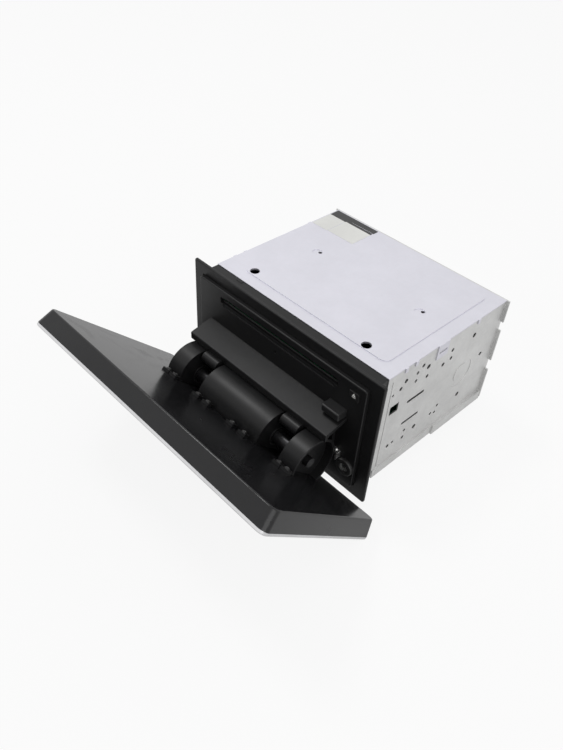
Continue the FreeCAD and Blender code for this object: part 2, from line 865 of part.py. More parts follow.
def key_outline(grow):
    """Outline of the eject key, whose lower edge slopes down to the right."""
    low = eject_z - eject_half_z - grow
    high = eject_z + eject_half_z + grow
    left = eject_x - eject_half_x - grow
    right = eject_x + eject_half_x + grow
    rise, run, step = KEY_SLOPE
    return polygon((left, high), (left, low + rise), (left + run, low + step), (right, low), (right, high))


def make_front():
    """Plastic nose, trim flange, face panel and the dust strips behind the slot."""
    nose = new_body("front_nose")
    pad(
        nose,
        "XZ",
        0,
        front,
        rectangle(-nose_x, nose_x, -nose_z, nose_z),
        rectangle(-nose_in_x, nose_in_x, -nose_in_z, nose_in_z),
    )
    opening = rectangle(
        -face_x - face_gap,
        face_x + face_gap,
        book.face_bottom - face_gap,
        book.face_top + face_gap,
    )
    # Rim that sits in the rear of the flange
    pad(nose, "XZ", -book.flange_seat, 0, rectangle(-nose_x, nose_x, -nose_z, nose_z), opening)
    # Locating lug on top, beside the edge of the metal box
    left, right, long = NOSE_LUG
    pad(nose, "XY", nose_z, half_high, rectangle(left, right, front - long, front))

    flange = new_body("trim_flange")
    half = book.flange_wide / 2
    mid = -book.flange_drop
    tall = book.flange_high / 2
    plate = pad(flange, "XZ", -book.flange_thick, 0, rectangle(-half, half, mid - tall, mid + tall))
    doc.recompute()
    rounded = soften(flange, "Fillet", plate, outer_edges(plate.Shape, 1), FLANGE_CORNER)
    level = rounded.Shape.BoundBox.YMin
    soften(flange, "Chamfer", rounded, rim_edges(rounded.Shape, 1, level), FLANGE_CHAMFER)
    pocket(flange, "XZ", -book.flange_thick, 0, opening)
    seat_x = nose_x + book.fit_gap
    seat_z = nose_z + book.fit_gap
    pocket(flange, "XZ", -book.flange_seat, 0, rectangle(-seat_x, seat_x, -seat_z, seat_z))

    face = new_body("face_panel")
    outline = rectangle(-face_x, face_x, book.face_bottom, book.face_top)
    slab = pad(face, "XZ", face_front, 0, outline)
    doc.recompute()
    rounded = soften(face, "Fillet", slab, outer_edges(slab.Shape, 1), FACE_CORNER)
    level = rounded.Shape.BoundBox.YMin
    soften(face, "Fillet", rounded, rim_edges(rounded.Shape, 1, level), FACE_ROUND)
    wall = book.face_rim
    inside = rectangle(
        wall - face_x,
        face_x - wall,
        book.face_bottom + wall,
        book.face_top - wall,
    )
    pocket(face, "XZ", face_back, 0, inside)
    bosses = [circle(x, z, boss_rad) for x, z in PEDESTAL_SCREWS]
    pad(face, "XZ", face_back, bracket_y, *bosses)
    pocket(
        face,
        "XZ",
        face_front,
        bracket_y,
        *[circle(x, z, hole_rad) for x, z in PEDESTAL_SCREWS],
    )
    release_hole = rectangle(
        release_left - face_gap,
        release_right + face_gap,
        release_low - face_gap,
        release_high + face_gap,
    )
    pocket(
        face,
        "XZ",
        face_front,
        face_back,
        rectangle(-slot_x, slot_x, slot_low, slot_top),
        key_outline(face_gap),
        release_hole,
        circle(0, reset_z, reset_rad),
        circle(port_x, port_z, port_rad + book.fit_gap),
    )
    # Shallow ramps above and below the slot that guide the edge of the disc
    pocket(
        face,
        "XZ",
        face_front,
        face_front + RAMP_DEEP,
        rectangle(RAMP_END - slot_x, slot_x - RAMP_END, slot_low - RAMP_LOW, slot_low),
        rectangle(RAMP_END - slot_x, slot_x - RAMP_END, slot_top, slot_top + RAMP_HIGH),
    )

    felt = new_body("slot_felt")
    end = slot_x + FELT_PAST
    pad(
        felt,
        "XZ",
        face_back,
        face_back + book.felt_thick,
        rectangle(-end, end, slot_low - FELT_HIGH, slot_low + FELT_LIP),
        rectangle(-end, end, slot_top - FELT_LIP, slot_top + FELT_HIGH),
    )


def make_keys():
    """Keys and socket of the face, their circuit board, and the steel bracket behind it."""
    key = new_body("eject_key")
    pad(key, "XZ", face_front - KEY_PROUD, KEY_REAR, key_outline(0))

    release = new_body("release_button")
    cap = rectangle(release_left, release_right, release_low, release_high)
    grip = pad(release, "XZ", release_front, CAP_REAR, cap)
    doc.recompute()
    level = grip.Shape.BoundBox.YMin
    soften(release, "Chamfer", grip, rim_edges(grip.Shape, 1, level), FLANGE_CHAMFER)
    # Stop flange behind the face
    pad(
        release,
        "XZ",
        face_back + STOP_START,
        STOP_END,
        rectangle(
            release_left - STOP_WIDE,
            release_right + STOP_WIDE,
            release_low - STOP_WIDE,
            release_high + STOP_WIDE,
        ),
    )

    plunger = new_body("reset_plunger")
    tip = circle(0, reset_z, reset_rad - book.fit_gap)
    pad(plunger, "XZ", face_front + KEY_PROUD, KEY_REAR, tip)
    pad(plunger, "XZ", face_back + STOP_START, KEY_REAR, circle(0, reset_z, reset_stop))

    port = new_body("port_socket")
    mouth = face_front - collar_high
    collar = pad(port, "XZ", mouth, face_front, circle(port_x, port_z, port_rad + port_collar))
    doc.recompute()
    crown = []
    for number, edge in enumerate(collar.Shape.Edges, start=1):
        if abs(edge.BoundBox.YMax - collar.Shape.BoundBox.YMin) < 1e-4:
            crown.append(f"Edge{number}")
    soften(port, "Fillet", collar, crown, 1.2)
    pad(port, "XZ", face_front, board_y, circle(port_x, port_z, port_rad))
    pocket(port, "XZ", mouth, port_floor, circle(port_x, port_z, port_rad - port_wall))

    near, far, low_v, high_v = CLIP_SPOT
    low_u = port_x - near
    high_u = port_x - far
    clip_y = face_front - clip_thick
    lip_x = high_u - clip_thick
    strip = block(low_u, high_u, clip_y, face_front, low_v, high_v)
    lip = block(lip_x, high_u, clip_y - clip_lip, clip_y, low_v + 0.5, low_v + 5)
    sleeve_rad = port_rad - port_wall - book.fit_gap
    sleeve_mouth = port_floor - port_deep
    sleeve = cut(
        rod("Y", port_x, sleeve_mouth, port_z, sleeve_rad, port_deep),
        [rod("Y", port_x, sleeve_mouth - 1, port_z, port_bore, port_deep + 2)],
    )
    head_y = clip_y - clip_head_high
    heads = [
        rod("Y", low_u + x, head_y, high_v - z, clip_head_rad, clip_head_high)
        for x, z in CLIP_SCREWS
    ]
    grouped("port_metal", [fused([strip, lip, *heads]), sleeve])

    board = new_body("face_board")
    edge_x = face_x - face_board_inset
    upper = slot_low - face_board_drop
    pad(board, "XZ", board_y, board_back, rectangle(-edge_x, edge_x, face_board_low, upper))
    notch = rectangle(release_left - 3, release_right + 3, release_low - 3, release_high + 3)
    tab = rectangle(eject_x - 5, edge_x, upper, eject_z + 5)
    pad(board, "XZ", board_y, board_back, tab)
    reliefs = [circle(x, z, boss_rad + board_relief) for x, z in PEDESTAL_SCREWS]
    pocket(board, "XZ", board_y, board_back, notch, *reliefs)

    half = switch_half
    switches = [
        block(x - half, x + half, back - high, back, z - half, z + half)
        for x, z, back, high in (
            (eject_x, eject_z, board_y, switch_high),
            (0, reset_z, board_y, switch_high),
            (65, 18.9, bracket_y, 1.4),
        )
    ]
    grouped("key_switches", switches)

    bracket = new_body("front_bracket")
    top = slot_low - bracket_drop
    wide, high = BRACKET_WINDOW
    pad(bracket, "XZ", bracket_y, bracket_back, rectangle(-nose_in_x, nose_in_x, -nose_in_z, top))
    pocket(
        bracket,
        "XZ",
        bracket_y,
        bracket_back,
        rectangle(-wide, wide, -high, high),
        *[circle(x, z, hole_rad) for x, z in PEDESTAL_SCREWS],
    )
    # Screws from behind, through the bracket and the face, into the pedestal
    grouped(
        "pedestal_screws",
        [
            screw("Y", x, bracket_back, z, bracket_back - face_front + SCREW_BITE, -1)
            for x, z in PEDESTAL_SCREWS
        ],
    )


LIP_FOOT = 2.5
LIP_ROUND = 1.2
PLATE_DROP = 12
PLATE_RISE = 2
NOSE_FORE = 2.3
NOSE_DROP = 1
# Webs of the arms, as distances from the hinge axis
WEB_FRONT = 7
WEB_HOLLOW = 9.5
WEB_LEVELS = (11, 8, -6)
LEAF_START = 9
LEAF_INSET = 1
SHAFT_SHORT = 2.7


def make_pedestal():
    """Shelf in front of the face, its two arms, and the fixed half of the hinge."""
    body = new_body("hinge_pedestal")
    shelf_y = -book.shelf_front
    top = book.shelf_top
    plate_y = face_front - book.shelf_thick
    shelf = pad(
        body,
        "YZ",
        -shelf_x,
        shelf_x,
        polygon(
            (face_front, top + book.shelf_rise),
            (shelf_y, top),
            (shelf_y, top - book.shelf_lip),
            (shelf_y + LIP_FOOT, top - book.shelf_lip),
            (shelf_y + LIP_FOOT, top - book.shelf_thick),
            (face_front, top + book.shelf_rise - book.shelf_thick),
        ),
    )
    doc.recompute()
    edges = []
    for number, edge in enumerate(shelf.Shape.Edges, start=1):
        spots = [vertex.Point for vertex in edge.Vertexes]
        if all(math.hypot(spot.y - shelf_y.value, spot.z - top.value) < 1e-4 for spot in spots):
            edges.append(f"Edge{number}")
    soften(body, "Fillet", shelf, edges, LIP_ROUND)
    plate_x = port_x - CLIP_SPOT[0] - CLIP_GAP
    foot = axis_z - PLATE_DROP
    pad(body, "XZ", plate_y, face_front, rectangle(-plate_x, plate_x, foot, top + PLATE_RISE))
    half = book.arm_wide / 2
    nose_high = top - book.shelf_lip - book.nose_rad + NOSE_DROP
    nose_fore = shelf_y - NOSE_FORE
    tongue = book.leaf_thick / 2
    slot = tongue + book.fit_gap
    upper, middle, lower = WEB_LEVELS
    for side in (-1, 1):
        low = side * arm_mid - half
        high = side * arm_mid + half
        # Web under the shelf, cut back round the hinge eye
        pad(
            body,
            "YZ",
            low,
            high,
            polygon(
                (plate_y, top),
                (axis_y + WEB_FRONT, top - PLATE_RISE),
                (axis_y + WEB_FRONT, axis_z + upper),
                (axis_y + WEB_HOLLOW, axis_z + middle),
                (axis_y + WEB_HOLLOW, axis_z + lower),
                (plate_y, foot),
            ),
        )
        pad(body, "YZ", low, high, circle(nose_fore, nose_high, book.nose_rad))
        gap = rectangle(axis_y + LEAF_START, face_front, axis_z - slot, axis_z + slot)
        pocket(body, "YZ", low, high, gap)
    holes = [circle(x, z, hole_rad) for x, z in PEDESTAL_SCREWS]
    pocket(body, "XZ", plate_y, face_front, *holes)

    eye_half = (book.knuckle_in - book.drum_half) / 2 - book.bush_flange - book.loose_gap
    leaves = []
    for side in (-1, 1):
        start = side * arm_mid - eye_half
        eye = rod("X", start, axis_y, axis_z, book.eye_rad, eye_half * 2)
        plate = block(
            side * arm_mid - half + LEAF_INSET,
            side * arm_mid + half - LEAF_INSET,
            axis_y + book.eye_rad - LEAF_INSET,
            face_front,
            axis_z - tongue,
            axis_z + tongue,
        )
        bore = rod("X", start - 1, axis_y, axis_z, book.shaft_rad, eye_half * 2 + 2)
        leaves.append(cut(fused([eye, plate]), [bore]))
    grouped("hinge_leaves", leaves)
    shaft_half = book.knuckle_out - SHAFT_SHORT
    node("hinge_shaft", rod("X", -shaft_half, axis_y, axis_z, book.shaft_rad, shaft_half * 2))


make_front()
make_keys()
make_pedestal()

# Screen, drawn upright about the hinge axis and then tilted with its body

back_y = -book.screen_gap
glass_y = back_y - book.screen_deep
rim_y = glass_y - book.rim_thick
mid_z = book.screen_up
screen_half_x = book.screen_wide / 2
screen_half_z = book.screen_high / 2
ear_x = 8.5
foot_z = 19.4
tab_z = 26.2
tab_hole_z = 23.2
tab_thick = 2
tab_half = 3.6
EAR_THICK = 2.5
CROWN_ROUND = 1.4
HOUSING_LEDGE = 3
RIM_CHAMFER = 0.7
PANEL_INSET = 6.5
# Left and right edge, and lower and upper edge from the middle of the screen
SCREEN_BOARD = (-90, 60, -10, 55)
CARRIER_THICK = 2
CARRIER_PAST = 4
CARRIER_LEVELS = (-22, 32)
CABLE_MOUTH = 12
BUSH_COLLAR = 1.8
COVER_HEAD = (2.2, 1.2)
TAB_SPOTS = [-30.2, -18.6, 9, 22.2]
KNUCKLE_TABS = [3.4, 11.4]

EAR_SPANS = [
    (book.drum_half - book.hump_end - EAR_THICK, book.drum_half - book.hump_end),
    (book.knuckle_in + book.hump_end, book.knuckle_in + book.hump_end + EAR_THICK),
]


def tilted_body(label):
    """Start a piece of the screen, whose own frame has its origin on the hinge axis."""
    body = new_body(label)
    body.Placement = Placement(Vector(), Rotation(Vector(1, 0, 0), book.screen_tilt.value))
    body.setExpression("Placement.Rotation.Angle", book.screen_tilt.text)
    bind_place(body, 0, book.hinge_y, book.hinge_z)
    return body


def screen_frame(inset):
    """Rectangle parallel to the outline of the screen, at a distance inside it."""
    return rectangle(
        book.screen_shift - screen_half_x + inset,
        book.screen_shift + screen_half_x - inset,
        mid_z - screen_half_z + inset,
        mid_z + screen_half_z - inset,
    )


def ear_slots(grow):
    """Outlines of the carrier's ears where they pass through the back of the housing."""
    slots = []
    for inner, outer in EAR_SPANS:
        slots.append(rectangle(inner - grow, outer + grow, -ear_x - grow, ear_x + grow))
        slots.append(rectangle(-outer - grow, -inner + grow, -ear_x - grow, ear_x + grow))
    return slots


def tab_centres():
    """Centres along X of the screw tabs of the drum and the two knuckles."""
    knuckles = [book.knuckle_in + offset for offset in KNUCKLE_TABS]
    return [plain(x) for x in TAB_SPOTS], knuckles


def make_housing():
    """Back housing of the screen with tapered sides, and what lies in it."""
    body = tilted_body("screen_housing")
    shell = pad(body, "XZ", glass_y, back_y, screen_frame(0), draft=-book.screen_draft)
    doc.recompute()
    corners = []
    for number, edge in enumerate(shell.Shape.Edges, start=1):
        spots = [vertex.Point for vertex in edge.Vertexes]
        if abs(spots[0].y - spots[-1].y) > 1:
            corners.append(f"Edge{number}")
    rounded = soften(body, "Fillet", shell, corners, book.screen_corner)
    crown = []
    for number, edge in enumerate(rounded.Shape.Edges, start=1):
        spots = [vertex.Point for vertex in edge.Vertexes]
        if all(abs(spot.y - back_y.value) < 1e-3 for spot in spots):
            crown.append(f"Edge{number}")
    soften(body, "Fillet", rounded, crown, CROWN_ROUND)
    wall = book.screen_wall
    floor_y = back_y - wall
    pocket(body, "XZ", glass_y, floor_y, screen_frame(wall + HOUSING_LEDGE))
    drum_tabs, knuckle_tabs = tab_centres()
    spots = drum_tabs + knuckle_tabs + [-x for x in knuckle_tabs]
    holes = [circle(x, tab_hole_z, hole_rad) for x in spots]
    pocket(body, "XZ", floor_y, back_y, *ear_slots(face_gap), *holes)

    rim = tilted_body("screen_rim")
    band = pad(rim, "XZ", rim_y, glass_y, screen_frame(0))
    doc.recompute()
    corners = []
    for number, edge in enumerate(band.Shape.Edges, start=1):
        spots = [vertex.Point for vertex in edge.Vertexes]
        if abs(spots[0].y - spots[-1].y) > 1:
            corners.append(f"Edge{number}")
    rounded = soften(rim, "Fillet", band, corners, book.screen_corner)
    front_edges = []
    for number, edge in enumerate(rounded.Shape.Edges, start=1):
        spots = [vertex.Point for vertex in edge.Vertexes]
        if all(abs(spot.y - rim_y.value) < 1e-3 for spot in spots):
            front_edges.append(f"Edge{number}")
    soften(rim, "Chamfer", rounded, front_edges, RIM_CHAMFER)
    pocket(rim, "XZ", rim_y, glass_y, screen_frame(book.rim_wide))

    glass = tilted_body("touch_glass")
    lens = screen_frame(book.rim_wide + book.fit_gap)
    pad(glass, "XZ", glass_y - book.glass_thick, glass_y, lens)

    display = tilted_body("display_panel")
    pad(display, "XZ", glass_y, glass_y + book.panel_thick, screen_frame(PANEL_INSET))
    board = tilted_body("screen_board")
    board_front = glass_y + book.panel_thick
    left, right, low, high = SCREEN_BOARD
    pad(
        board,
        "XZ",
        board_front,
        board_front + book.board_thick,
        rectangle(left, right, mid_z + low, mid_z + high),
    )

    carrier = tilted_body("hinge_carrier")
    plate_y = floor_y - CARRIER_THICK
    plate_x = book.knuckle_out + CARRIER_PAST
    pad(carrier, "XZ", plate_y, floor_y, rectangle(-plate_x, plate_x, *CARRIER_LEVELS))
    for inner, outer in EAR_SPANS:
        for low, high in ((inner, outer), (-outer, -inner)):
            pad(carrier, "YZ", low, high, rectangle(floor_y, 0, -ear_x, ear_x))
            pad(carrier, "YZ", low, high, circle(0, 0, ear_x))
    pocket(carrier, "XZ", plate_y, floor_y, *holes)
    bush_rad = book.shaft_rad + book.fit_gap + book.bush_wall
    for low, high in (
        (-arm_mid, 0),
        (0, arm_mid),
        (arm_mid, plate_x),
        (-plate_x, -arm_mid),
    ):
        pocket(carrier, "YZ", low, high, circle(0, 0, bush_rad))


def hump(body, low, high, open_low, open_high):
    """Hollow half-drum over the hinge axis, with an end wall at each side that isn't open."""
    pad(body, "YZ", low, high, circle(0, 0, book.hump_rad))
    reach = book.hump_rad + 2
    pocket(body, "YZ", low, high, rectangle(-reach, back_y, -reach, reach))
    pocket(body, "YZ", open_low, open_high, circle(0, 0, book.hump_rad - book.hump_wall))


def foot_tabs(body, centres):
    """Screw tabs along the upper foot of a hump."""
    outlines = [rectangle(x - tab_half, x + tab_half, foot_z - 1, tab_z) for x in centres]
    pad(body, "XZ", back_y, back_y + tab_thick, *outlines)
    seats = [circle(x, tab_hole_z, hole_rad) for x in centres]
    pocket(body, "XZ", back_y, back_y + tab_thick, *seats)


def make_humps():
    """Drum and knuckles on the back of the screen, with their bushes and screws."""
    drum_tabs, knuckle_tabs = tab_centres()
    end = book.hump_end
    half = book.drum_half
    bush_rad = book.shaft_rad + book.fit_gap + book.bush_wall
    drum = tilted_body("hinge_drum")
    hump(drum, -half, half, end - half, half - end)
    foot_tabs(drum, drum_tabs)
    pocket(drum, "YZ", -half, half, circle(0, 0, bush_rad))
    # Mouth in the underside of the drum for the screen's ribbon cable
    mouth = rectangle(-CABLE_MOUTH, CABLE_MOUTH, -book.hump_rad - 1, -CABLE_MOUTH)
    pocket(drum, "XZ", back_y, 0, mouth)

    knuckles = tilted_body("hinge_knuckles")
    inner = book.knuckle_in
    outer = book.knuckle_out
    recess = outer - book.end_recess
    wall = recess - end
    hollow = circle(0, 0, book.hump_rad - book.hump_wall)
    passage = circle(0, 0, book.shaft_rad + book.loose_gap)
    hump(knuckles, inner, outer, inner + end, wall)
    foot_tabs(knuckles, knuckle_tabs)
    pocket(knuckles, "YZ", inner, inner + end, circle(0, 0, bush_rad))
    pocket(knuckles, "YZ", recess, outer, hollow)
    pocket(knuckles, "YZ", wall, recess, passage)
    hump(knuckles, -outer, -inner, -wall, -inner - end)
    foot_tabs(knuckles, [-x for x in knuckle_tabs])
    pocket(knuckles, "YZ", -inner - end, -inner, circle(0, 0, bush_rad))
    pocket(knuckles, "YZ", -outer, -recess, hollow)
    pocket(knuckles, "YZ", -recess, -wall, passage)

    reach = end + EAR_THICK
    flange = book.bush_flange
    bushes = []
    for face, inward in ((half, -1), (-half, 1), (inner, 1), (-inner, -1)):
        start = face if inward > 0 else face - reach
        collar = face - flange if inward > 0 else face
        low = start - 1 - flange
        barrel = rod("X", start, axis_y, axis_z, bush_rad, reach)
        ring = rod("X", collar, axis_y, axis_z, bush_rad + BUSH_COLLAR, flange)
        bore = rod("X", low, axis_y, axis_z, book.shaft_rad + book.fit_gap, reach + 2 + 2 * flange)
        bushes.append(cut(fused([barrel, ring]), [bore]))
    grouped("hinge_bushes", bushes)

    screws = tilted_body("cover_screws")
    spots = drum_tabs + knuckle_tabs + [-x for x in knuckle_tabs]
    head_y = back_y + tab_thick
    head_rad, head_high = COVER_HEAD
    tip = back_y - book.screen_wall - CARRIER_THICK
    heads = [circle(x, tab_hole_z, head_rad) for x in spots]
    pad(screws, "XZ", head_y, head_y + head_high, *heads)
    pad(screws, "XZ", tip, head_y, *[circle(x, tab_hole_z, book.screw_rad) for x in spots])


make_housing()
make_humps()

# Circuit boards in the box

main_z = plain(MAIN_BOARD_Z)
main_rear = rear - 14.5
MAIN_BOARD_INSET = 4
MAIN_BOARD_FRONT = 6.5
# Notch in each side of the main board: depth, and its ends ahead of the rear of the box
BOARD_NOTCH = (5, 60, 50)
TUNER_EDGES = (50, 80)
TUNER_LONG = 28
TUNER_HIGH = 20
TUNER_GAP = 2
TUNER_FOOT = 1
# Along X, behind the front edge of the box, radius and height
CANS = [
    (-70, 108, 8, 25),
    (-50, 108, 8, 25),
    (-30, 112, 6, 18),
    (-14, 112, 6, 18),
    (20, 60, 5, 12),
    (34, 60, 5, 12),
]


def make_boards():
    """Main board on its studs, with the tuner can and the capacitors."""
    board = new_body("main_board")
    edge = inner_x - MAIN_BOARD_INSET
    top = main_z + book.board_thick
    pad(board, "XY", main_z, top, rectangle(-edge, edge, front + MAIN_BOARD_FRONT, main_rear))
    deep, far, near = BOARD_NOTCH
    notches = [
        rectangle(-edge, deep - edge, rear - far, rear - near),
        rectangle(edge - deep, edge, rear - far, rear - near),
    ]
    pocket(board, "XY", main_z, top, *notches)
    tuner = new_body("tuner_can")
    left, right = TUNER_EDGES
    can_rear = main_rear - TUNER_GAP
    can_front = can_rear - TUNER_LONG
    foot = TUNER_FOOT
    pad(tuner, "XY", top, top + TUNER_HIGH, rectangle(left, right, can_front, can_rear))
    flange = rectangle(left - foot, right + foot, can_front - foot, can_rear + foot)
    pad(tuner, "XY", top, top + 2, flange)
    cans = [rod("Z", x, front + back, top, radius, tall) for x, back, radius, tall in CANS]
    grouped("capacitors", cans)


# Disc loader

loader_half = book.loader_wide / 2
deck_x = loader_half - book.deck_inset
roller_half = deck_x - book.roller_end
damper_x = deck_x - 9
FRAME_WALL = 1
FRAME_FLANGE = 10
FRAME_FRONT = 4.5
FRAME_REAR = 2
# Opening in the floor of the bracket: side inset from the deck, front and rear of the disc middle
FLOOR_WINDOW = (23, 42, 34)
DAMPER_BACKS = (21.5, 121.5)
DAMPER_RAD = 5.5
DAMPER_WAIST = (6.2, 1.6)
PLATE_TOP = 44
EAR_TOP = 48
EAR_HALF = 8
DECK_FRONT = 5.5
DECK_WALL = 1
# Window over which the pickup sled runs: left gap, right gap, half length along the box
SLED_WINDOW = (1, 3, 15)
POST_THICK = 3
POST_HALF = 3
POST_RISE = 3
HUB_PAST = 0.6
HUB_SEAT = (1.5, 0.7)
CLAMP_PIN = 5
# Section of the disc guide: length, step, upper, middle and lower level
GUIDE_SECTION = (13, 3, 44, 43, 42)
ROOT_DROP = 1.15
TIP_RISE = 0.8
deck_low = book.deck_z
deck_top = deck_low + 1
roller_y = front + book.roller_y
roller_z = book.slot_z - book.roller_drop
gear_x = deck_x + 1
spindle_z = book.slot_z - 0.6
rod_z = plain(29)
screw_y = disc_mid - 24
screw_axis_rad = 2
screw_pin_rad = 1
motor_boss_rad = 2
clamp_y = rear - 13.5
clamp_z = plain(45.5)
arm_low = plain(44.5)
arm_thick = 1.2
sled_left = plain(14)
sled_wide = 15
ROLLER_TEETH = 16
IDLER_TEETH = 24
PINION_TEETH = 10
PRESSURE_ANGLE = 20
TOOTH_RELIEF = 0.14
FLANK_STEPS = 4
idler_z = roller_z - 4
idler_y = roller_y + ((book.gear_module * 20) * (book.gear_module * 20) - 16).root()
pinion_z = idler_z + 2
pinion_y = idler_y + ((book.gear_module * 17) * (book.gear_module * 17) - 4).root()


def make_loader_frame():
    """Bracket under the top cover, its dampers, and the floating deck with its side plates."""
    frame = new_body("loader_frame")
    low = book.loader_low
    wall = FRAME_WALL
    flange = loader_half + FRAME_FLANGE
    pad(
        frame,
        "XZ",
        front + FRAME_FRONT,
        rear - FRAME_REAR,
        polygon(
            (-loader_half, low),
            (loader_half, low),
            (loader_half, roof_z - wall),
            (flange, roof_z - wall),
            (flange, roof_z),
            (loader_half - wall, roof_z),
            (loader_half - wall, low + wall),
            (wall - loader_half, low + wall),
            (wall - loader_half, roof_z),
            (-flange, roof_z),
            (-flange, roof_z - wall),
            (-loader_half, roof_z - wall),
        ),
    )
    inset, ahead, behind = FLOOR_WINDOW
    window_x = deck_x - inset
    window = rectangle(-window_x, window_x, disc_mid - ahead, disc_mid + behind)
    pocket(frame, "XY", low, low + wall, window)

    spots = [(side * damper_x, front + back) for side in (-1, 1) for back in DAMPER_BACKS]
    dampers = []
    for x, y in spots:
        foot = rod("Z", x, y, low + wall, DAMPER_RAD, deck_low - low - wall)
        waist = doc.addObject("Part::Torus", "waist")
        waist.setExpression("Radius1", plain(DAMPER_WAIST[0]).text)
        waist.setExpression("Radius2", plain(DAMPER_WAIST[1]).text)
        bind_place(waist, x, y, (low + wall + deck_low) / 2)
        dampers.append(cut(foot, [waist]))
    grouped("loader_dampers", dampers)

    deck = new_body("loader_deck")
    deck_front = front + DECK_FRONT
    deck_rear = clamp_y + EAR_HALF
    pad(deck, "XY", deck_low, deck_top, rectangle(-deck_x, deck_x, deck_front, deck_rear))
    side_wall = rectangle(deck_front, deck_rear, deck_top, PLATE_TOP)
    clamp_ear = rectangle(clamp_y - EAR_HALF, deck_rear, PLATE_TOP, EAR_TOP)
    bearing = circle(roller_y, roller_z, book.pin_rad + book.fit_gap)
    for start in (-deck_x, deck_x - DECK_WALL):
        pad(deck, "YZ", start, start + DECK_WALL, side_wall)
        pad(deck, "YZ", start, start + DECK_WALL, clamp_ear)
        pocket(deck, "YZ", start, start + DECK_WALL, bearing)
    # Opening over which the pickup sled runs
    left, right, reach = SLED_WINDOW
    window = rectangle(sled_left - left, deck_x - right, disc_mid - reach, disc_mid + reach)
    pocket(deck, "XY", deck_low, deck_top, window)
    post_x = sled_left - left - POST_THICK
    posts = [
        rectangle(post_x, post_x + POST_THICK, y - POST_HALF, y + POST_HALF)
        for y in (disc_mid - book.rod_step, disc_mid + book.rod_step)
    ]
    pad(deck, "XY", deck_top, rod_z + POST_RISE, *posts)
    shaft_holes = [
        circle(disc_mid - book.rod_step, rod_z, book.pin_rad),
        circle(disc_mid + book.rod_step, rod_z, book.pin_rad),
    ]
    pocket(deck, "YZ", post_x, deck_x, *shaft_holes)
    wall_in = deck_x - DECK_WALL
    pocket(deck, "YZ", wall_in, deck_x, circle(screw_y, rod_z, screw_pin_rad + book.fit_gap))
    pocket(deck, "YZ", wall_in, deck_x, circle(pinion_y, pinion_z, motor_boss_rad))
    # Pin of the idler gear and pins of the clamp arm
    pin_tip = gear_x + book.gear_thick + HUB_PAST
    wide, high = HUB_SEAT
    pad(deck, "YZ", deck_x, pin_tip, circle(idler_y, idler_z, book.pin_rad))
    pad(deck, "YZ", deck_x, deck_x + high, circle(idler_y, idler_z, book.pin_rad + wide))
    for start in (DECK_WALL - deck_x, wall_in - CLAMP_PIN):
        pad(deck, "YZ", start, start + CLAMP_PIN, circle(clamp_y, clamp_z, book.pin_rad))

    guide = new_body("disc_guide")
    long, step, upper, middle, lower = GUIDE_SECTION
    pad(
        guide,
        "YZ",
        DECK_WALL - deck_x,
        wall_in,
        polygon(
            (deck_front, middle),
            (deck_front, upper),
            (deck_front + long, upper),
            (deck_front + long, lower),
            (deck_front + step, lower),
        ),
    )

    rods = [
        rod("X", post_x, y, rod_z, book.pin_rad, deck_x - post_x)
        for y in (disc_mid - book.rod_step, disc_mid + book.rod_step)
    ]
    grouped("guide_rods", rods)


def flank_angle(teeth, radius):
    """Half the angle that a tooth covers at one radius, on the involute of its base circle."""
    pitch_rad = book.gear_module.value * teeth / 2
    base_rad = pitch_rad * math.cos(math.radians(PRESSURE_ANGLE))
    half_tooth = math.pi / (2 * teeth) - TOOTH_RELIEF / (2 * pitch_rad)
    pitch_roll = math.radians(PRESSURE_ANGLE)
    roll = math.acos(min(1, base_rad / radius))
    return half_tooth + (math.tan(pitch_roll) - pitch_roll) - (math.tan(roll) - roll)


def make_gear(label, teeth, y, z, phase, bore):
    """Spur gear with involute teeth, turned by its phase about its own axis."""
    module = book.gear_module
    body = new_body(label)
    body.Placement = Placement(Vector(), Rotation(Vector(1, 0, 0), phase))
    bind_place(body, 0, y, z)
    root_rad = module * (teeth / 2 - ROOT_DROP)
    start = gear_x
    stop = gear_x + book.gear_thick
    pad(body, "YZ", start, stop, circle(0, 0, root_rad))
    base_share = teeth / 2 * math.cos(math.radians(PRESSURE_ANGLE))
    low_share = max(base_share, teeth / 2 - ROOT_DROP)
    tip_share = teeth / 2 + TIP_RISE
    right = [(teeth / 2 - 1.5, flank_angle(teeth, low_share * module.value))]
    for step in range(FLANK_STEPS + 1):
        share = low_share + (tip_share - low_share) * step / FLANK_STEPS
        right.append((share, flank_angle(teeth, share * module.value)))
    corners = [(share, -angle) for share, angle in right]
    corners += [(share, angle) for share, angle in reversed(right)]
    spots = [
        (module * (share * math.cos(angle)), module * (share * math.sin(angle)))
        for share, angle in corners
    ]
    tooth = pad(body, "YZ", start, stop, polygon(*spots))
    doc.recompute()
    pattern = body.newObject("PartDesign::PolarPattern", f"{body.Name}_teeth")
    pattern.Originals = [tooth]
    axis = next(item for item in body.Origin.OriginFeatures if item.Role == "X_Axis")
    pattern.Axis = (axis, [""])
    pattern.Angle = 360
    pattern.Occurrences = teeth
    body.Tip = pattern
    doc.recompute()
    pocket(body, "YZ", start, stop, circle(0, 0, bore))
    return body


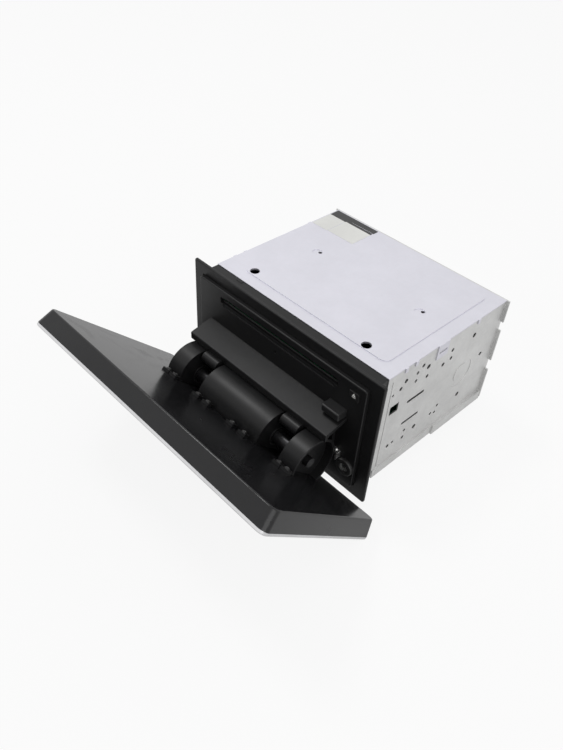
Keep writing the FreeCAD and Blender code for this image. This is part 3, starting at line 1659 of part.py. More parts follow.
def make_gear_train():
    """Feed roller on its shaft, three gears and the loading motor."""
    first_line = math.degrees(
        math.atan2(idler_z.value - roller_z.value, idler_y.value - roller_y.value)
    )
    second_line = math.degrees(
        math.atan2(pinion_z.value - idler_z.value, pinion_y.value - idler_y.value)
    )
    idler_pitch = 360 / IDLER_TEETH
    idler_phase = first_line + 180 + idler_pitch / 2
    share = ((second_line - idler_phase) / idler_pitch) % 1
    pinion_pitch = 360 / PINION_TEETH
    pinion_phase = second_line + 180 + (share + 0.5) * pinion_pitch
    pin = book.pin_rad
    make_gear("roller_gear", ROLLER_TEETH, roller_y, roller_z, first_line, pin)
    make_gear("idler_gear", IDLER_TEETH, idler_y, idler_z, idler_phase, pin + book.fit_gap)
    make_gear("pinion_gear", PINION_TEETH, pinion_y, pinion_z, pinion_phase, 0.8)

    half = roller_half
    sleeve = new_body("feed_roller")
    pad(sleeve, "YZ", -half, half, circle(roller_y, roller_z, book.roller_rad))
    # Waist in the middle, so that only the edges of the disc are gripped
    rim = roller_y + book.roller_rad
    land = half - 8
    profile = polygon((-land, rim), (0, rim - 0.8), (land, rim), (land, rim + 1), (-land, rim + 1))
    waist = new_sketch(sleeve, "XY", roller_z, [profile])
    groove = sleeve.newObject("PartDesign::Groove", "feed_roller_groove")
    groove.Profile = waist
    groove.ReferenceAxis = turning_axis(waist, roller_y)
    groove.Angle = 360
    doc.recompute()
    pocket(sleeve, "YZ", -half, half, circle(roller_y, roller_z, pin))

    left = -deck_x - 1
    right = gear_x + book.gear_thick + 0.5
    node("roller_shaft", rod("X", left, roller_y, roller_z, pin, right - left))

    motor = new_body("loading_motor")
    motor_x = deck_x - 1
    pad(motor, "YZ", motor_x - 22, motor_x, circle(pinion_y, pinion_z, 6))
    flat = rectangle(pinion_y - 7, pinion_y + 7, pinion_z + 5, pinion_z + 7)
    pocket(motor, "YZ", motor_x - 22, motor_x, flat)
    pad(motor, "YZ", motor_x - 23.5, motor_x - 22, circle(pinion_y, pinion_z, 2))
    pad(motor, "YZ", motor_x, gear_x + book.gear_thick, circle(pinion_y, pinion_z, 0.75))


def turning_axis(sketch, level):
    """Construction line along X in a sketch, as the axis of a turned feature."""
    height = plain(level)
    number = sketch.GeometryCount
    line = Part.LineSegment(Vector(-10, height.value, 0), Vector(10, height.value, 0))
    sketch.addGeometry(line, True)
    for point, across in ((1, -10), (2, 10)):
        sketch.addConstraint(Sketcher.Constraint("DistanceX", -1, 1, number, point, across))
        rule = Sketcher.Constraint("DistanceY", -1, 1, number, point, height.value)
        index = sketch.addConstraint(rule)
        sketch.setExpression(f"Constraints[{index}]", height.text)
    return (sketch, ["Axis0"])


def make_spindle():
    """Turntable on its motor, and the clamp that holds the disc down on it."""
    motor = new_body("spindle_motor")
    motor_top = spindle_z - 1.8
    pad(motor, "XY", deck_top, motor_top - 2.5, circle(0, disc_mid, 11))
    pad(motor, "XY", motor_top - 2.5, motor_top, circle(0, disc_mid, 4))
    pocket(motor, "XY", deck_top + 2, motor_top, circle(0, disc_mid, 1 + book.fit_gap))

    table = new_body("turntable")
    pad(table, "XY", spindle_z - 1.2, spindle_z, circle(0, disc_mid, 13.5))
    hub = pad(table, "XY", spindle_z, spindle_z + 2, circle(0, disc_mid, 7.3))
    doc.recompute()
    crown = []
    for number, edge in enumerate(hub.Shape.Edges, start=1):
        if abs(edge.BoundBox.ZMin - hub.Shape.BoundBox.ZMax) < 1e-4:
            crown.append(f"Edge{number}")
    soften(table, "Chamfer", hub, crown, 1.2)
    pad(table, "XY", deck_top + 3, spindle_z - 1.2, circle(0, disc_mid, 1))

    arm = new_body("clamp_arm")
    ear = deck_x - 1 - 4
    narrow = 11
    pad(
        arm,
        "XY",
        arm_low,
        arm_low + arm_thick,
        polygon(
            (-ear, clamp_y + 4),
            (ear, clamp_y + 4),
            (ear, clamp_y - 5),
            (narrow, disc_mid + 22),
            (narrow, disc_mid),
            (-narrow, disc_mid),
            (-narrow, disc_mid + 22),
            (-ear, clamp_y - 5),
        ),
    )
    pad(arm, "XY", arm_low, arm_low + arm_thick, circle(0, disc_mid, narrow))
    ears = rectangle(clamp_y - 4, clamp_y + 4, clamp_z - 2.4, clamp_z + 2.4)
    for start in (ear - 1.2, -ear):
        pad(arm, "YZ", start, start + 1.2, ears)
        pin = circle(clamp_y, clamp_z, book.pin_rad + book.fit_gap)
        pocket(arm, "YZ", start, start + 1.2, pin)
    pocket(arm, "XY", arm_low, arm_low + arm_thick, circle(0, disc_mid, 4), circle(0, disc_mid + 32, 5))
    # Pads of the arm leave room for the pins beside its ears
    pin_room = [
        rectangle(ear - 2.8, ear - 1.2, clamp_y - 2, clamp_y + 2),
        rectangle(1.2 - ear, 2.8 - ear, clamp_y - 2, clamp_y + 2),
    ]
    pocket(arm, "XY", arm_low, arm_low + arm_thick, *pin_room)

    puck = new_body("clamp_puck")
    low = arm_low - 2.3
    shoulder = arm_low - 0.3
    pad(puck, "XY", low, shoulder - 0.5, circle(0, disc_mid, 14))
    pad(puck, "XY", shoulder - 0.5, shoulder, circle(0, disc_mid, 9.5))
    pad(puck, "XY", shoulder, arm_low + arm_thick + 0.3, circle(0, disc_mid, 3.6))
    head_low = arm_low + arm_thick + 0.3
    pad(puck, "XY", head_low, head_low + 1, circle(0, disc_mid, 5.2))
    pocket(puck, "XY", low, low + 1.1, circle(0, disc_mid, 8.4))


def make_sled():
    """Pickup sled on its rods, its lens, and the lead screw with its motor."""
    low = rod_z - 3
    high = rod_z + 3
    right = sled_left + sled_wide
    step = book.rod_step
    sled = new_body("pickup_sled")
    pad(
        sled,
        "XY",
        low,
        high,
        polygon(
            (sled_left, disc_mid - step - 3),
            (sled_left + 4, disc_mid - step - 3),
            (sled_left + 4, screw_y - 3.2),
            (right - 4, screw_y - 3.2),
            (right - 4, disc_mid - step - 3),
            (right, disc_mid - step - 3),
            (right, disc_mid + step + 3),
            (sled_left, disc_mid + step + 3),
        ),
    )
    running = book.pin_rad + book.fit_gap
    rods = [circle(disc_mid - step, rod_z, running), circle(disc_mid + step, rod_z, running)]
    pocket(sled, "YZ", sled_left, right, *rods)
    pocket(sled, "YZ", sled_left, right, circle(screw_y, rod_z, screw_axis_rad + book.fit_gap))
    lens_x = sled_left + sled_wide / 2
    pocket(
        sled,
        "XY",
        high - 2,
        high,
        rectangle(sled_left + 2, right - 2, disc_mid - 9, disc_mid + 9),
    )
    lens = new_body("pickup_lens")
    pad(lens, "XY", high - 2, high + 2.5, rectangle(lens_x - 4.5, lens_x + 4.5, disc_mid - 6, disc_mid + 6))
    dome = pad(lens, "XY", high + 2.5, high + 3.8, circle(lens_x, disc_mid, 2.6))
    doc.recompute()
    crown = []
    for number, edge in enumerate(dome.Shape.Edges, start=1):
        if abs(edge.BoundBox.ZMin - dome.Shape.BoundBox.ZMax) < 1e-4:
            crown.append(f"Edge{number}")
    soften(lens, "Fillet", dome, crown, 1.1)

    screw_left = sled_left - 5.5
    spiral = rod("X", screw_left, screw_y, rod_z, screw_axis_rad, deck_x - 1.4 - screw_left)
    left_pin = rod("X", screw_left - 6, screw_y, rod_z, 1, 6.5)
    right_pin = rod("X", deck_x - 1.6, screw_y, rod_z, 1, 1.5)
    node("lead_screw", fused([spiral, left_pin, right_pin]))
    motor = new_body("sled_motor")
    motor_right = screw_left - 0.3
    pad(motor, "YZ", motor_right - 22, motor_right, circle(screw_y, rod_z, rod_z - deck_top))
    pocket(motor, "YZ", motor_right - 7, motor_right, circle(screw_y, rod_z, 1 + book.fit_gap))


make_boards()
make_loader_frame()
make_gear_train()
make_spindle()
make_sled()

doc.recompute()

for item in doc.Objects:
    faults = [state for state in item.State if state in ("Invalid", "Error")]
    if faults:
        raise RuntimeError(f"{item.Label} did not build: {faults}")
for label, target in NODES:
    shape = target.Shape
    if shape.isNull() or not shape.isValid() or not shape.Solids:
        raise RuntimeError(f"{label} has no valid solid")

os.makedirs("parts", exist_ok=True)
for label, target in NODES:
    target.Shape.exportStep(f"parts/{label}.step")
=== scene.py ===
"""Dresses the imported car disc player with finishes, softened mouldings, screws, a sticker and a studio."""

from __future__ import annotations

import json
import logging
import math
from dataclasses import dataclass, field
from enum import Enum
from typing import Callable, Sequence

import bpy
from mathutils import Matrix, Vector

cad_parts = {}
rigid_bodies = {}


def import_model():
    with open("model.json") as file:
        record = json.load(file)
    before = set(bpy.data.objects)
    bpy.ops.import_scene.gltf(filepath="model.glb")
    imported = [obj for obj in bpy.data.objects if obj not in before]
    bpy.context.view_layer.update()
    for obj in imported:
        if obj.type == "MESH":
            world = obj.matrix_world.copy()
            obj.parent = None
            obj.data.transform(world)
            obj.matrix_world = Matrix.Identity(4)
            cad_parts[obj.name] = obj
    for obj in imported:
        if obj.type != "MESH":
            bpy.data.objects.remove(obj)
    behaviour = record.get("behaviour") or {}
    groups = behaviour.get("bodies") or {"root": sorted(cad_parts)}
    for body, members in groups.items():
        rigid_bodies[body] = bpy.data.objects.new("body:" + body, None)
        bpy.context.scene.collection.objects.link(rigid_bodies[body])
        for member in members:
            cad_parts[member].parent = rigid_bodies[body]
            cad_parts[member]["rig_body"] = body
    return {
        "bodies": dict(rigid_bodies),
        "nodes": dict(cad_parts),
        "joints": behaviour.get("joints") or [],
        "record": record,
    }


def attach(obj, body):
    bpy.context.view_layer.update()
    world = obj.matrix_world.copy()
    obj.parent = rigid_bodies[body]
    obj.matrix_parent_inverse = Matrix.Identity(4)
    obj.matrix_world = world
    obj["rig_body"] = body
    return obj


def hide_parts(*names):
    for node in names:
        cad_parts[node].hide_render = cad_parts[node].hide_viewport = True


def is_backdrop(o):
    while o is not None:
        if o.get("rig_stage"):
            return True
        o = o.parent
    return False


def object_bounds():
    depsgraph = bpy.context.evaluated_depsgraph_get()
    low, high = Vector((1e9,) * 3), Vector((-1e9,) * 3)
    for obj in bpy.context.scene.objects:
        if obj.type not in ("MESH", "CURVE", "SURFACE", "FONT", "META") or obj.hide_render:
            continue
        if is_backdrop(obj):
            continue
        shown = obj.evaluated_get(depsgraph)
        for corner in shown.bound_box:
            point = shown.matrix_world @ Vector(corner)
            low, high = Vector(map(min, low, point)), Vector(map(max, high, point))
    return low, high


log = logging.getLogger("car_disc_player")

MM = 0.001
MERGE = 1e-6
FLAT = math.radians(0.6)
CREASE = math.radians(32)

Triple = tuple[float, float, float]
Socket = bpy.types.NodeSocket


class Body(Enum):
    """The moving groups that new pieces ride on."""

    CONSOLE = "console"
    EJECT = "eject"


class Lay(Enum):
    """The way that drawn or brushed lines run over a metal, as a stretch of its three axes."""

    ALONG_X = (0.03, 1.0, 1.0)
    ALONG_Y = (1.0, 0.03, 1.0)
    ALONG_Z = (1.0, 1.0, 0.03)
    EVEN = (1.0, 1.0, 1.0)


# ---- node trees


class Graph:
    """Adds nodes to one tree and joins them."""

    def __init__(self, tree: bpy.types.NodeTree) -> None:
        """Takes over a tree.

        Args:
            tree: the tree of a material, a world or a group.
        """
        self.tree = tree

    def add(self, kind: str, inputs: dict | None = None, **settings: object) -> bpy.types.Node:
        """Adds a node.

        Args:
            kind: the node's type without the ShaderNode prefix.
            inputs: socket name or number, and a value or another node's socket.
            settings: attributes of the node.

        Returns:
            The new node.
        """
        node = self.tree.nodes.new("ShaderNode" + kind)
        for name, value in settings.items():
            setattr(node, name, value)
        for key, value in (inputs or {}).items():
            self.feed(value, node.inputs[key])
        return node

    def feed(self, value: object, socket: Socket) -> None:
        """Joins a socket to another, or sets its value.

        Args:
            value: a socket, a number or a colour.
            socket: the input that takes it.
        """
        if isinstance(value, bpy.types.NodeSocket):
            self.tree.links.new(value, socket)
        else:
            socket.default_value = value

    def math(self, operation: str, *values: object, clamp: bool = False) -> Socket:
        """Adds one sum.

        Args:
            operation: the Math node's operation.
            values: its inputs in order.
            clamp: keeps the result from 0 to 1.

        Returns:
            The result's socket.
        """
        inputs = dict(enumerate(values))
        return self.add("Math", inputs, operation=operation, use_clamp=clamp).outputs[0]

    def blend(self, factor: object, first: object, second: object) -> Socket:
        """Mixes two colours.

        Args:
            factor: the share of the second colour.
            first: a colour of three numbers, or a socket.
            second: the same.

        Returns:
            The mixed colour's socket.
        """
        node = self.add("Mix", data_type="RGBA")
        self.feed(factor, node.inputs[0])
        for value, socket in ((first, node.inputs[6]), (second, node.inputs[7])):
            self.feed((*value, 1.0) if isinstance(value, tuple) else value, socket)
        return node.outputs[2]

    def noise(self, where: Socket, scale: object, detail: float = 3.0, rough: float = 0.55) -> Socket:
        """Adds a noise pattern.

        Args:
            where: the coordinates.
            scale: waves per metre.
            detail: octaves.
            rough: strength of the finer octaves.

        Returns:
            The noise value's socket.
        """
        inputs = {"Vector": where, "Scale": scale, "Detail": detail, "Roughness": rough}
        return self.add("TexNoise", inputs).outputs["Fac"]

    def spread(
        self, value: object, low: float, high: float, out_low: float = 0.0, out_high: float = 1.0
    ) -> Socket:
        """Stretches a value from one range to another, clamped.

        Args:
            value: what is stretched.
            low: start of the range.
            high: end of the range.
            out_low: what the start becomes.
            out_high: what the end becomes.

        Returns:
            The new value's socket.
        """
        inputs = {"Value": value, "From Min": low, "From Max": high, "To Min": out_low, "To Max": out_high}
        return self.add("MapRange", inputs).outputs[0]

    def stretched(self, where: Socket, scale: Triple) -> Socket:
        """Scales coordinates.

        Args:
            where: the coordinates.
            scale: one number for each axis.

        Returns:
            The scaled coordinates.
        """
        return self.add("Mapping", {"Vector": where, "Scale": scale}).outputs[0]

    def object_place(self) -> Socket:
        """Gives the place on the object, in metres."""
        return self.add("TexCoord").outputs["Object"]


Wiring = Callable[[Graph, bpy.types.Node], Socket]


@dataclass(frozen=True)
class Port:
    """An input or output of a shader group."""

    name: str
    kind: str = "Float"
    value: float | None = None


class Effect:
    """A shader group with named inputs and one output, built once and used by several finishes."""

    def __init__(self, name: str, inputs: Sequence[Port], output: Port, wire: Wiring) -> None:
        """Builds the group.

        Args:
            name: its name.
            inputs: its inputs.
            output: its output.
            wire: adds the nodes between, and returns the socket that is put out.
        """
        self.tree = bpy.data.node_groups.new(name, "ShaderNodeTree")
        sockets = self.tree.interface
        for port in inputs:
            made = sockets.new_socket(name=port.name, in_out="INPUT", socket_type="NodeSocket" + port.kind)
            if port.value is not None:
                made.default_value = port.value
        sockets.new_socket(name=output.name, in_out="OUTPUT", socket_type="NodeSocket" + output.kind)
        graph = Graph(self.tree)
        source = self.tree.nodes.new("NodeGroupInput")
        sink = self.tree.nodes.new("NodeGroupOutput")
        self.tree.links.new(wire(graph, source), sink.inputs[0])

    def use(self, graph: Graph, **inputs: object) -> Socket:
        """Places the group in a tree.

        Args:
            graph: the tree.
            inputs: values or sockets by input name.

        Returns:
            The group's output.
        """
        node = graph.add("Group", node_tree=self.tree)
        for name, value in inputs.items():
            graph.feed(value, node.inputs[name])
        return node.outputs[0]


class Effects:
    """The shader groups that the finishes share."""

    def __init__(self) -> None:
        """Builds every group."""
        place = Port("Place", "Vector")
        self.mottle = Effect("Mottle", [place, Port("Scale", value=40.0)], Port("Mask"), self._mottle)
        self.grain = Effect("Grain", [place, Port("Scale", value=2500.0)], Port("Height"), self._grain)
        self.drawn = Effect("Drawn lines", [place, Port("Scale", value=3000.0)], Port("Height"), self._drawn)
        # Edge mask: the finishes lighten edges with it, partly as wear and partly as a painted highlight.
        wear_and_highlight = [place, Port("Reach", value=0.0004), Port("Strength", value=2.0)]
        self.wear_and_highlight = Effect("Worn and highlighted edges", wear_and_highlight, Port("Mask"), self._wear_and_highlight)
        self.dust = Effect("Dust", [place, Port("Amount", value=0.3)], Port("Mask"), self._dust)
        self.smudge = Effect("Smudges", [place, Port("Scale", value=25.0)], Port("Mask"), self._smudge)

    @staticmethod
    def _mottle(graph: Graph, source: bpy.types.Node) -> Socket:
        """Soft cloudy patches over which a finer pattern lies."""
        broad = graph.noise(source.outputs["Place"], source.outputs["Scale"], 2.0)
        finer = graph.math("MULTIPLY", source.outputs["Scale"], 7.0)
        fine = graph.noise(source.outputs["Place"], finer, 3.0, 0.6)
        both = graph.math("ADD", graph.math("MULTIPLY", broad, 0.65), graph.math("MULTIPLY", fine, 0.35))
        return graph.spread(both, 0.36, 0.64)

    @staticmethod
    def _grain(graph: Graph, source: bpy.types.Node) -> Socket:
        """The fine pebbled skin of a moulding."""
        inputs = {"Vector": source.outputs["Place"], "Scale": source.outputs["Scale"]}
        cells = graph.add("TexVoronoi", inputs, feature="SMOOTH_F1").outputs["Distance"]
        fine = graph.noise(source.outputs["Place"], graph.math("MULTIPLY", source.outputs["Scale"], 1.7), 2.0)
        return graph.math("ADD", graph.math("MULTIPLY", cells, 0.6), graph.math("MULTIPLY", fine, 0.4))

    @staticmethod
    def _drawn(graph: Graph, source: bpy.types.Node) -> Socket:
        """Short lines of two widths, along whichever axis the place is stretched."""
        scale = source.outputs["Scale"]
        thin = graph.noise(source.outputs["Place"], scale, 2.0, 0.6)
        wide = graph.noise(source.outputs["Place"], graph.math("MULTIPLY", scale, 0.23), 3.0, 0.6)
        return graph.math("ADD", graph.math("MULTIPLY", thin, 0.6), graph.math("MULTIPLY", wide, 0.4))

    @staticmethod
    def _wear_and_highlight(graph: Graph, source: bpy.types.Node) -> Socket:
        """Outer and inner edges, broken by a noise, which the finishes lighten partly as wear and partly as a
        painted highlight.
        """
        rounded = graph.add("Bevel", {"Radius": source.outputs["Reach"]}, samples=4).outputs[0]
        facing = graph.add("NewGeometry").outputs["Normal"]
        turn = graph.add("VectorMath", {0: rounded, 1: facing}, operation="DOT_PRODUCT").outputs["Value"]
        edge = graph.math("MULTIPLY", graph.math("SUBTRACT", 1.0, turn), source.outputs["Strength"])
        broken = graph.spread(graph.noise(source.outputs["Place"], 260.0, 4.0, 0.65), 0.35, 0.6, 0.25, 1.0)
        return graph.math("MULTIPLY", edge, broken, clamp=True)

    @staticmethod
    def _dust(graph: Graph, source: bpy.types.Node) -> Socket:
        """Specks and a thin film on what faces up."""
        facing = graph.add("NewGeometry").outputs["Normal"]
        up = graph.spread(graph.add("SeparateXYZ", {0: facing}).outputs["Z"], 0.2, 1.0)
        specks = graph.spread(graph.noise(source.outputs["Place"], 1900.0, 1.0), 0.66, 0.74)
        film = graph.spread(graph.noise(source.outputs["Place"], 55.0, 4.0, 0.7), 0.45, 0.75)
        both = graph.math("ADD", specks, graph.math("MULTIPLY", film, 0.35), clamp=True)
        return graph.math("MULTIPLY", graph.math("MULTIPLY", both, up), source.outputs["Amount"])

    @staticmethod
    def _smudge(graph: Graph, source: bpy.types.Node) -> Socket:
        """Handling marks on a smooth surface."""
        inputs = {"Vector": source.outputs["Place"], "Scale": source.outputs["Scale"]}
        marks = graph.add("TexNoise", {**inputs, "Detail": 4.0, "Distortion": 1.6}).outputs["Fac"]
        return graph.spread(marks, 0.5, 0.72)


# ---- finishes


def principled(material: bpy.types.Material) -> bpy.types.Node:
    """Finds a material's own surface shader.

    Args:
        material: a material with nodes.

    Returns:
        Its Principled BSDF.
    """
    return next(n for n in material.node_tree.nodes if n.type == "BSDF_PRINCIPLED")


def scaled(colour: Triple, by: float) -> Triple:
    """Makes a colour lighter or darker.

    Args:
        colour: three numbers.
        by: the factor.

    Returns:
        The new colour.
    """
    return tuple(min(1.0, c * by) for c in colour)


@dataclass(frozen=True)
class Finish:
    """What every finish has: a material slot's name, a colour and a gloss."""

    slot: str
    colour: Triple
    rough: float

    def build(self, effects: Effects) -> bpy.types.Material:
        """Makes the material.

        Args:
            effects: the shared groups.

        Returns:
            The material.
        """
        material = bpy.data.materials.new("finish_" + self.slot)
        material.use_nodes = True
        graph = Graph(material.node_tree)
        self.wire(graph, principled(material), graph.object_place(), effects)
        return material

    def wire(self, graph: Graph, shader: bpy.types.Node, place: Socket, effects: Effects) -> None:
        """Joins the pattern nodes to the shader.

        Args:
            graph: the material's tree.
            shader: its Principled BSDF.
            place: coordinates on the object.
            effects: the shared groups.
        """
        raise NotImplementedError

    def bump(self, graph: Graph, shader: bpy.types.Node, height: Socket, depth: float) -> None:
        """Lets a height pattern shape the light.

        Args:
            graph: the material's tree.
            shader: its Principled BSDF.
            height: the pattern.
            depth: its depth in metres.
        """
        inputs = {"Height": height, "Strength": 1.0, "Distance": depth}
        graph.feed(graph.add("Bump", inputs).outputs[0], shader.inputs["Normal"])


@dataclass(frozen=True)
class Moulding(Finish):
    """Moulded plastic or rubber with a fine skin, a little dust, and edges lightened partly as rubbed wear
    and partly as a painted highlight.
    """

    grain: float = 2600.0
    depth: float = 0.000012
    specular: float = 0.5
    edge: float = 2.2
    dust: float = 0.12
    varied: float = 0.16

    def wire(self, graph: Graph, shader: bpy.types.Node, place: Socket, effects: Effects) -> None:
        """Joins the nodes, as Finish.wire says."""
        cloud = effects.mottle.use(graph, Place=place, Scale=30.0)
        body = graph.blend(cloud, scaled(self.colour, 1 - self.varied), scaled(self.colour, 1 + self.varied))
        edge = effects.wear_and_highlight.use(graph, Place=place, Reach=0.0005, Strength=self.edge)
        # Edges lightened partly as rubbed wear and partly as a painted highlight.
        rubbed_and_highlighted = graph.blend(edge, body, tuple(c * 1.5 + 0.012 for c in self.colour))
        dust = effects.dust.use(graph, Place=place, Amount=self.dust)
        graph.feed(graph.blend(dust, rubbed_and_highlighted, (0.3, 0.29, 0.28)), shader.inputs["Base Color"])
        smudge = effects.smudge.use(graph, Place=place, Scale=22.0)
        gloss = graph.spread(smudge, 0.0, 1.0, self.rough, min(1.0, self.rough + 0.07))
        gloss = graph.math("SUBTRACT", gloss, graph.math("MULTIPLY", edge, 0.1))
        gloss = graph.math("ADD", gloss, graph.math("MULTIPLY", dust, 0.4), clamp=True)
        graph.feed(gloss, shader.inputs["Roughness"])
        shader.inputs["Specular IOR Level"].default_value = self.specular
        self.bump(graph, shader, effects.grain.use(graph, Place=place, Scale=self.grain), self.depth)


@dataclass(frozen=True)
class Metal(Finish):
    """Rolled, turned or plated metal, with lines along one way, cloudy plating, and edges lightened partly as
    wear and partly as a painted glint.
    """

    lay: Lay = Lay.EVEN
    lines: float = 2200.0
    depth: float = 0.000004
    metallic: float = 1.0
    edge: float = 1.0
    cloud: float = 45.0
    varied: float = 0.07

    def wire(self, graph: Graph, shader: bpy.types.Node, place: Socket, effects: Effects) -> None:
        """Joins the nodes, as Finish.wire says."""
        cloud = effects.mottle.use(graph, Place=place, Scale=self.cloud)
        body = graph.blend(cloud, scaled(self.colour, 1 - self.varied), scaled(self.colour, 1 + self.varied))
        edge = effects.wear_and_highlight.use(graph, Place=place, Reach=0.0003, Strength=self.edge)
        # Edges lightened partly as wear and partly as a painted glint.
        graph.feed(graph.blend(edge, body, scaled(self.colour, 1.25)), shader.inputs["Base Color"])
        lines = effects.drawn.use(graph, Place=graph.stretched(place, self.lay.value), Scale=self.lines)
        smudge = effects.smudge.use(graph, Place=place, Scale=18.0)
        gloss = graph.spread(lines, 0.3, 0.7, self.rough - 0.05, self.rough + 0.05)
        gloss = graph.math("ADD", gloss, graph.math("MULTIPLY", smudge, 0.06))
        graph.feed(gloss, shader.inputs["Roughness"])
        shader.inputs["Metallic"].default_value = self.metallic
        self.bump(graph, shader, lines, self.depth)


@dataclass(frozen=True)
class Pile(Finish):
    """Short felt."""

    def wire(self, graph: Graph, shader: bpy.types.Node, place: Socket, effects: Effects) -> None:
        """Joins the nodes, as Finish.wire says."""
        hairs = graph.noise(graph.stretched(place, (0.35, 1.0, 1.0)), 5200.0, 4.0, 0.75)
        pile = graph.blend(hairs, scaled(self.colour, 0.5), scaled(self.colour, 1.9))
        graph.feed(pile, shader.inputs["Base Color"])
        shader.inputs["Roughness"].default_value = self.rough
        shader.inputs["Sheen Weight"].default_value = 0.35
        self.bump(graph, shader, hairs, 0.00012)


@dataclass(frozen=True)
class CircuitBoard(Finish):
    """Solder resist over copper tracks and bare pads."""

    def wire(self, graph: Graph, shader: bpy.types.Node, place: Socket, effects: Effects) -> None:
        """Joins the nodes, as Finish.wire says."""
        steps = {"Vector": place, "Scale": 330.0, "Mortar Size": 0.09, "Row Height": 0.35, "Brick Width": 1.3}
        tracks = graph.add("TexBrick", steps).outputs["Fac"]
        cells = {"Vector": place, "Scale": 240.0, "Randomness": 0.35}
        pads = graph.add("TexVoronoi", cells, distance="CHEBYCHEV").outputs["Distance"]
        pad = graph.spread(pads, 0.17, 0.15)
        cloud = effects.mottle.use(graph, Place=place, Scale=20.0)
        resist = graph.blend(cloud, scaled(self.colour, 0.8), self.colour)
        tracked = graph.blend(tracks, resist, scaled(self.colour, 1.9))
        graph.feed(graph.blend(pad, tracked, (0.62, 0.6, 0.55)), shader.inputs["Base Color"])
        graph.feed(pad, shader.inputs["Metallic"])
        shader.inputs["Roughness"].default_value = self.rough
        shader.inputs["Coat Weight"].default_value = 0.3
        self.bump(graph, shader, graph.math("MAXIMUM", tracks, pad), 0.00004)


@dataclass(frozen=True)
class Pane:
    """The lit field of a display behind its glass."""

    middle: Triple
    tilt: float
    half_wide: float
    half_high: float
    colour: Triple

    def mask(self, graph: Graph, place: Socket) -> Socket:
        """Finds the field.

        Args:
            graph: the material's tree.
            place: coordinates on the object.

        Returns:
            1 inside the field and 0 round it.
        """
        inputs = {"Vector": place, "Location": self.middle, "Rotation": (math.radians(self.tilt), 0.0, 0.0)}
        flat = graph.add("SeparateXYZ", {0: graph.add("Mapping", inputs, vector_type="TEXTURE").outputs[0]})
        sides = []
        for axis, half in (("X", self.half_wide), ("Z", self.half_high)):
            reach = graph.math("ABSOLUTE", flat.outputs[axis])
            sides.append(graph.spread(reach, half - 0.0002, half + 0.0002, 1.0, 0.0))
        return graph.math("MULTIPLY", *sides)


@dataclass(frozen=True)
class DarkGlass(Finish):
    """Glass over black, smudged by fingers."""

    pane: Pane | None = None

    def wire(self, graph: Graph, shader: bpy.types.Node, place: Socket, effects: Effects) -> None:
        """Joins the nodes, as Finish.wire says."""
        smudge = effects.smudge.use(graph, Place=place, Scale=14.0)
        under = self.colour
        if self.pane:
            under = graph.blend(self.pane.mask(graph, place), self.colour, self.pane.colour)
        film = graph.blend(smudge, (0.0, 0.0, 0.0), (0.004, 0.004, 0.004))
        seen = graph.add("VectorMath", {0: under, 1: film}, operation="ADD").outputs[0]
        graph.feed(seen, shader.inputs["Base Color"])
        graph.feed(graph.spread(smudge, 0.0, 1.0, self.rough, self.rough + 0.12), shader.inputs["Roughness"])
        shader.inputs["Specular IOR Level"].default_value = 0.1
        shader.inputs["Coat Weight"].default_value = 1.0
        shader.inputs["Coat Roughness"].default_value = 0.03


FINISHES: tuple[Finish, ...] = (
    Metal("zinc_sheet", (0.65, 0.65, 0.645), 0.38, lay=Lay.ALONG_Y, metallic=0.92),
    Metal("cover_sheet", (0.7, 0.695, 0.755), 0.42, lay=Lay.ALONG_Y, metallic=0.8, varied=0.025, cloud=30.0),
    Metal("inner_steel", (0.52, 0.52, 0.53), 0.35, lay=Lay.ALONG_X),
    Metal("heat_sink_alloy", (0.6, 0.6, 0.62), 0.32, lay=Lay.ALONG_Z),
    Metal("screw_steel", (0.55, 0.55, 0.56), 0.3),
    Moulding("screw_black", (0.02, 0.02, 0.02), 0.32, specular=0.7),
    Moulding("socket_black", (0.022, 0.022, 0.022), 0.45),
    Metal("contact_metal", (0.84, 0.84, 0.83), 0.36),
    Metal("socket_metal", (0.75, 0.75, 0.76), 0.22),
    Moulding("fuse_plastic", (0.7, 0.3, 0.04), 0.25, specular=0.6, depth=0.000004),
    Moulding("trim_black", (0.012, 0.012, 0.0125), 0.36, specular=0.25, dust=0.02),
    Moulding("key_black", (0.014, 0.014, 0.0145), 0.38, specular=0.4, dust=0.05),
    Pile("felt_black", (0.014, 0.014, 0.014), 0.95),
    CircuitBoard("board_green", (0.015, 0.13, 0.055), 0.3),
    Metal("hinge_steel", (0.035, 0.035, 0.037), 0.34, lay=Lay.ALONG_X, metallic=0.7, edge=0.5),
    Moulding("bush_plastic", (0.02, 0.02, 0.02), 0.42),
    Moulding("housing_black", (0.011, 0.011, 0.012), 0.22, specular=0.36, depth=0.0, dust=0.0),
    Metal("rim_silver", (0.64, 0.64, 0.65), 0.24, lay=Lay.ALONG_X),
    DarkGlass(
        "touch_glass",
        (0.003, 0.003, 0.0035),
        0.05,
        pane=Pane((-0.003, -0.07234, -0.01199), 45.75, 0.1085, 0.0678, (0.012, 0.013, 0.016)),
    ),
    DarkGlass("display_black", (0.004, 0.004, 0.005), 0.2),
    Metal("can_metal", (0.68, 0.68, 0.68), 0.3),
    Moulding("capacitor_sleeve", (0.02, 0.02, 0.035), 0.3, grain=900.0),
    Moulding("damper_rubber", (0.1, 0.1, 0.11), 0.7, specular=0.3),
    Moulding("guide_plastic", (0.05, 0.05, 0.05), 0.4),
    Moulding("roller_rubber", (0.035, 0.035, 0.035), 0.65, specular=0.35),
    Moulding("gear_plastic", (0.86, 0.86, 0.83), 0.4, edge=0.2, varied=0.04, dust=0.03),
    Moulding("sled_plastic", (0.06, 0.06, 0.06), 0.5),
    DarkGlass("lens_clear", (0.35, 0.3, 0.5), 0.03),
)


# ---- the workshop


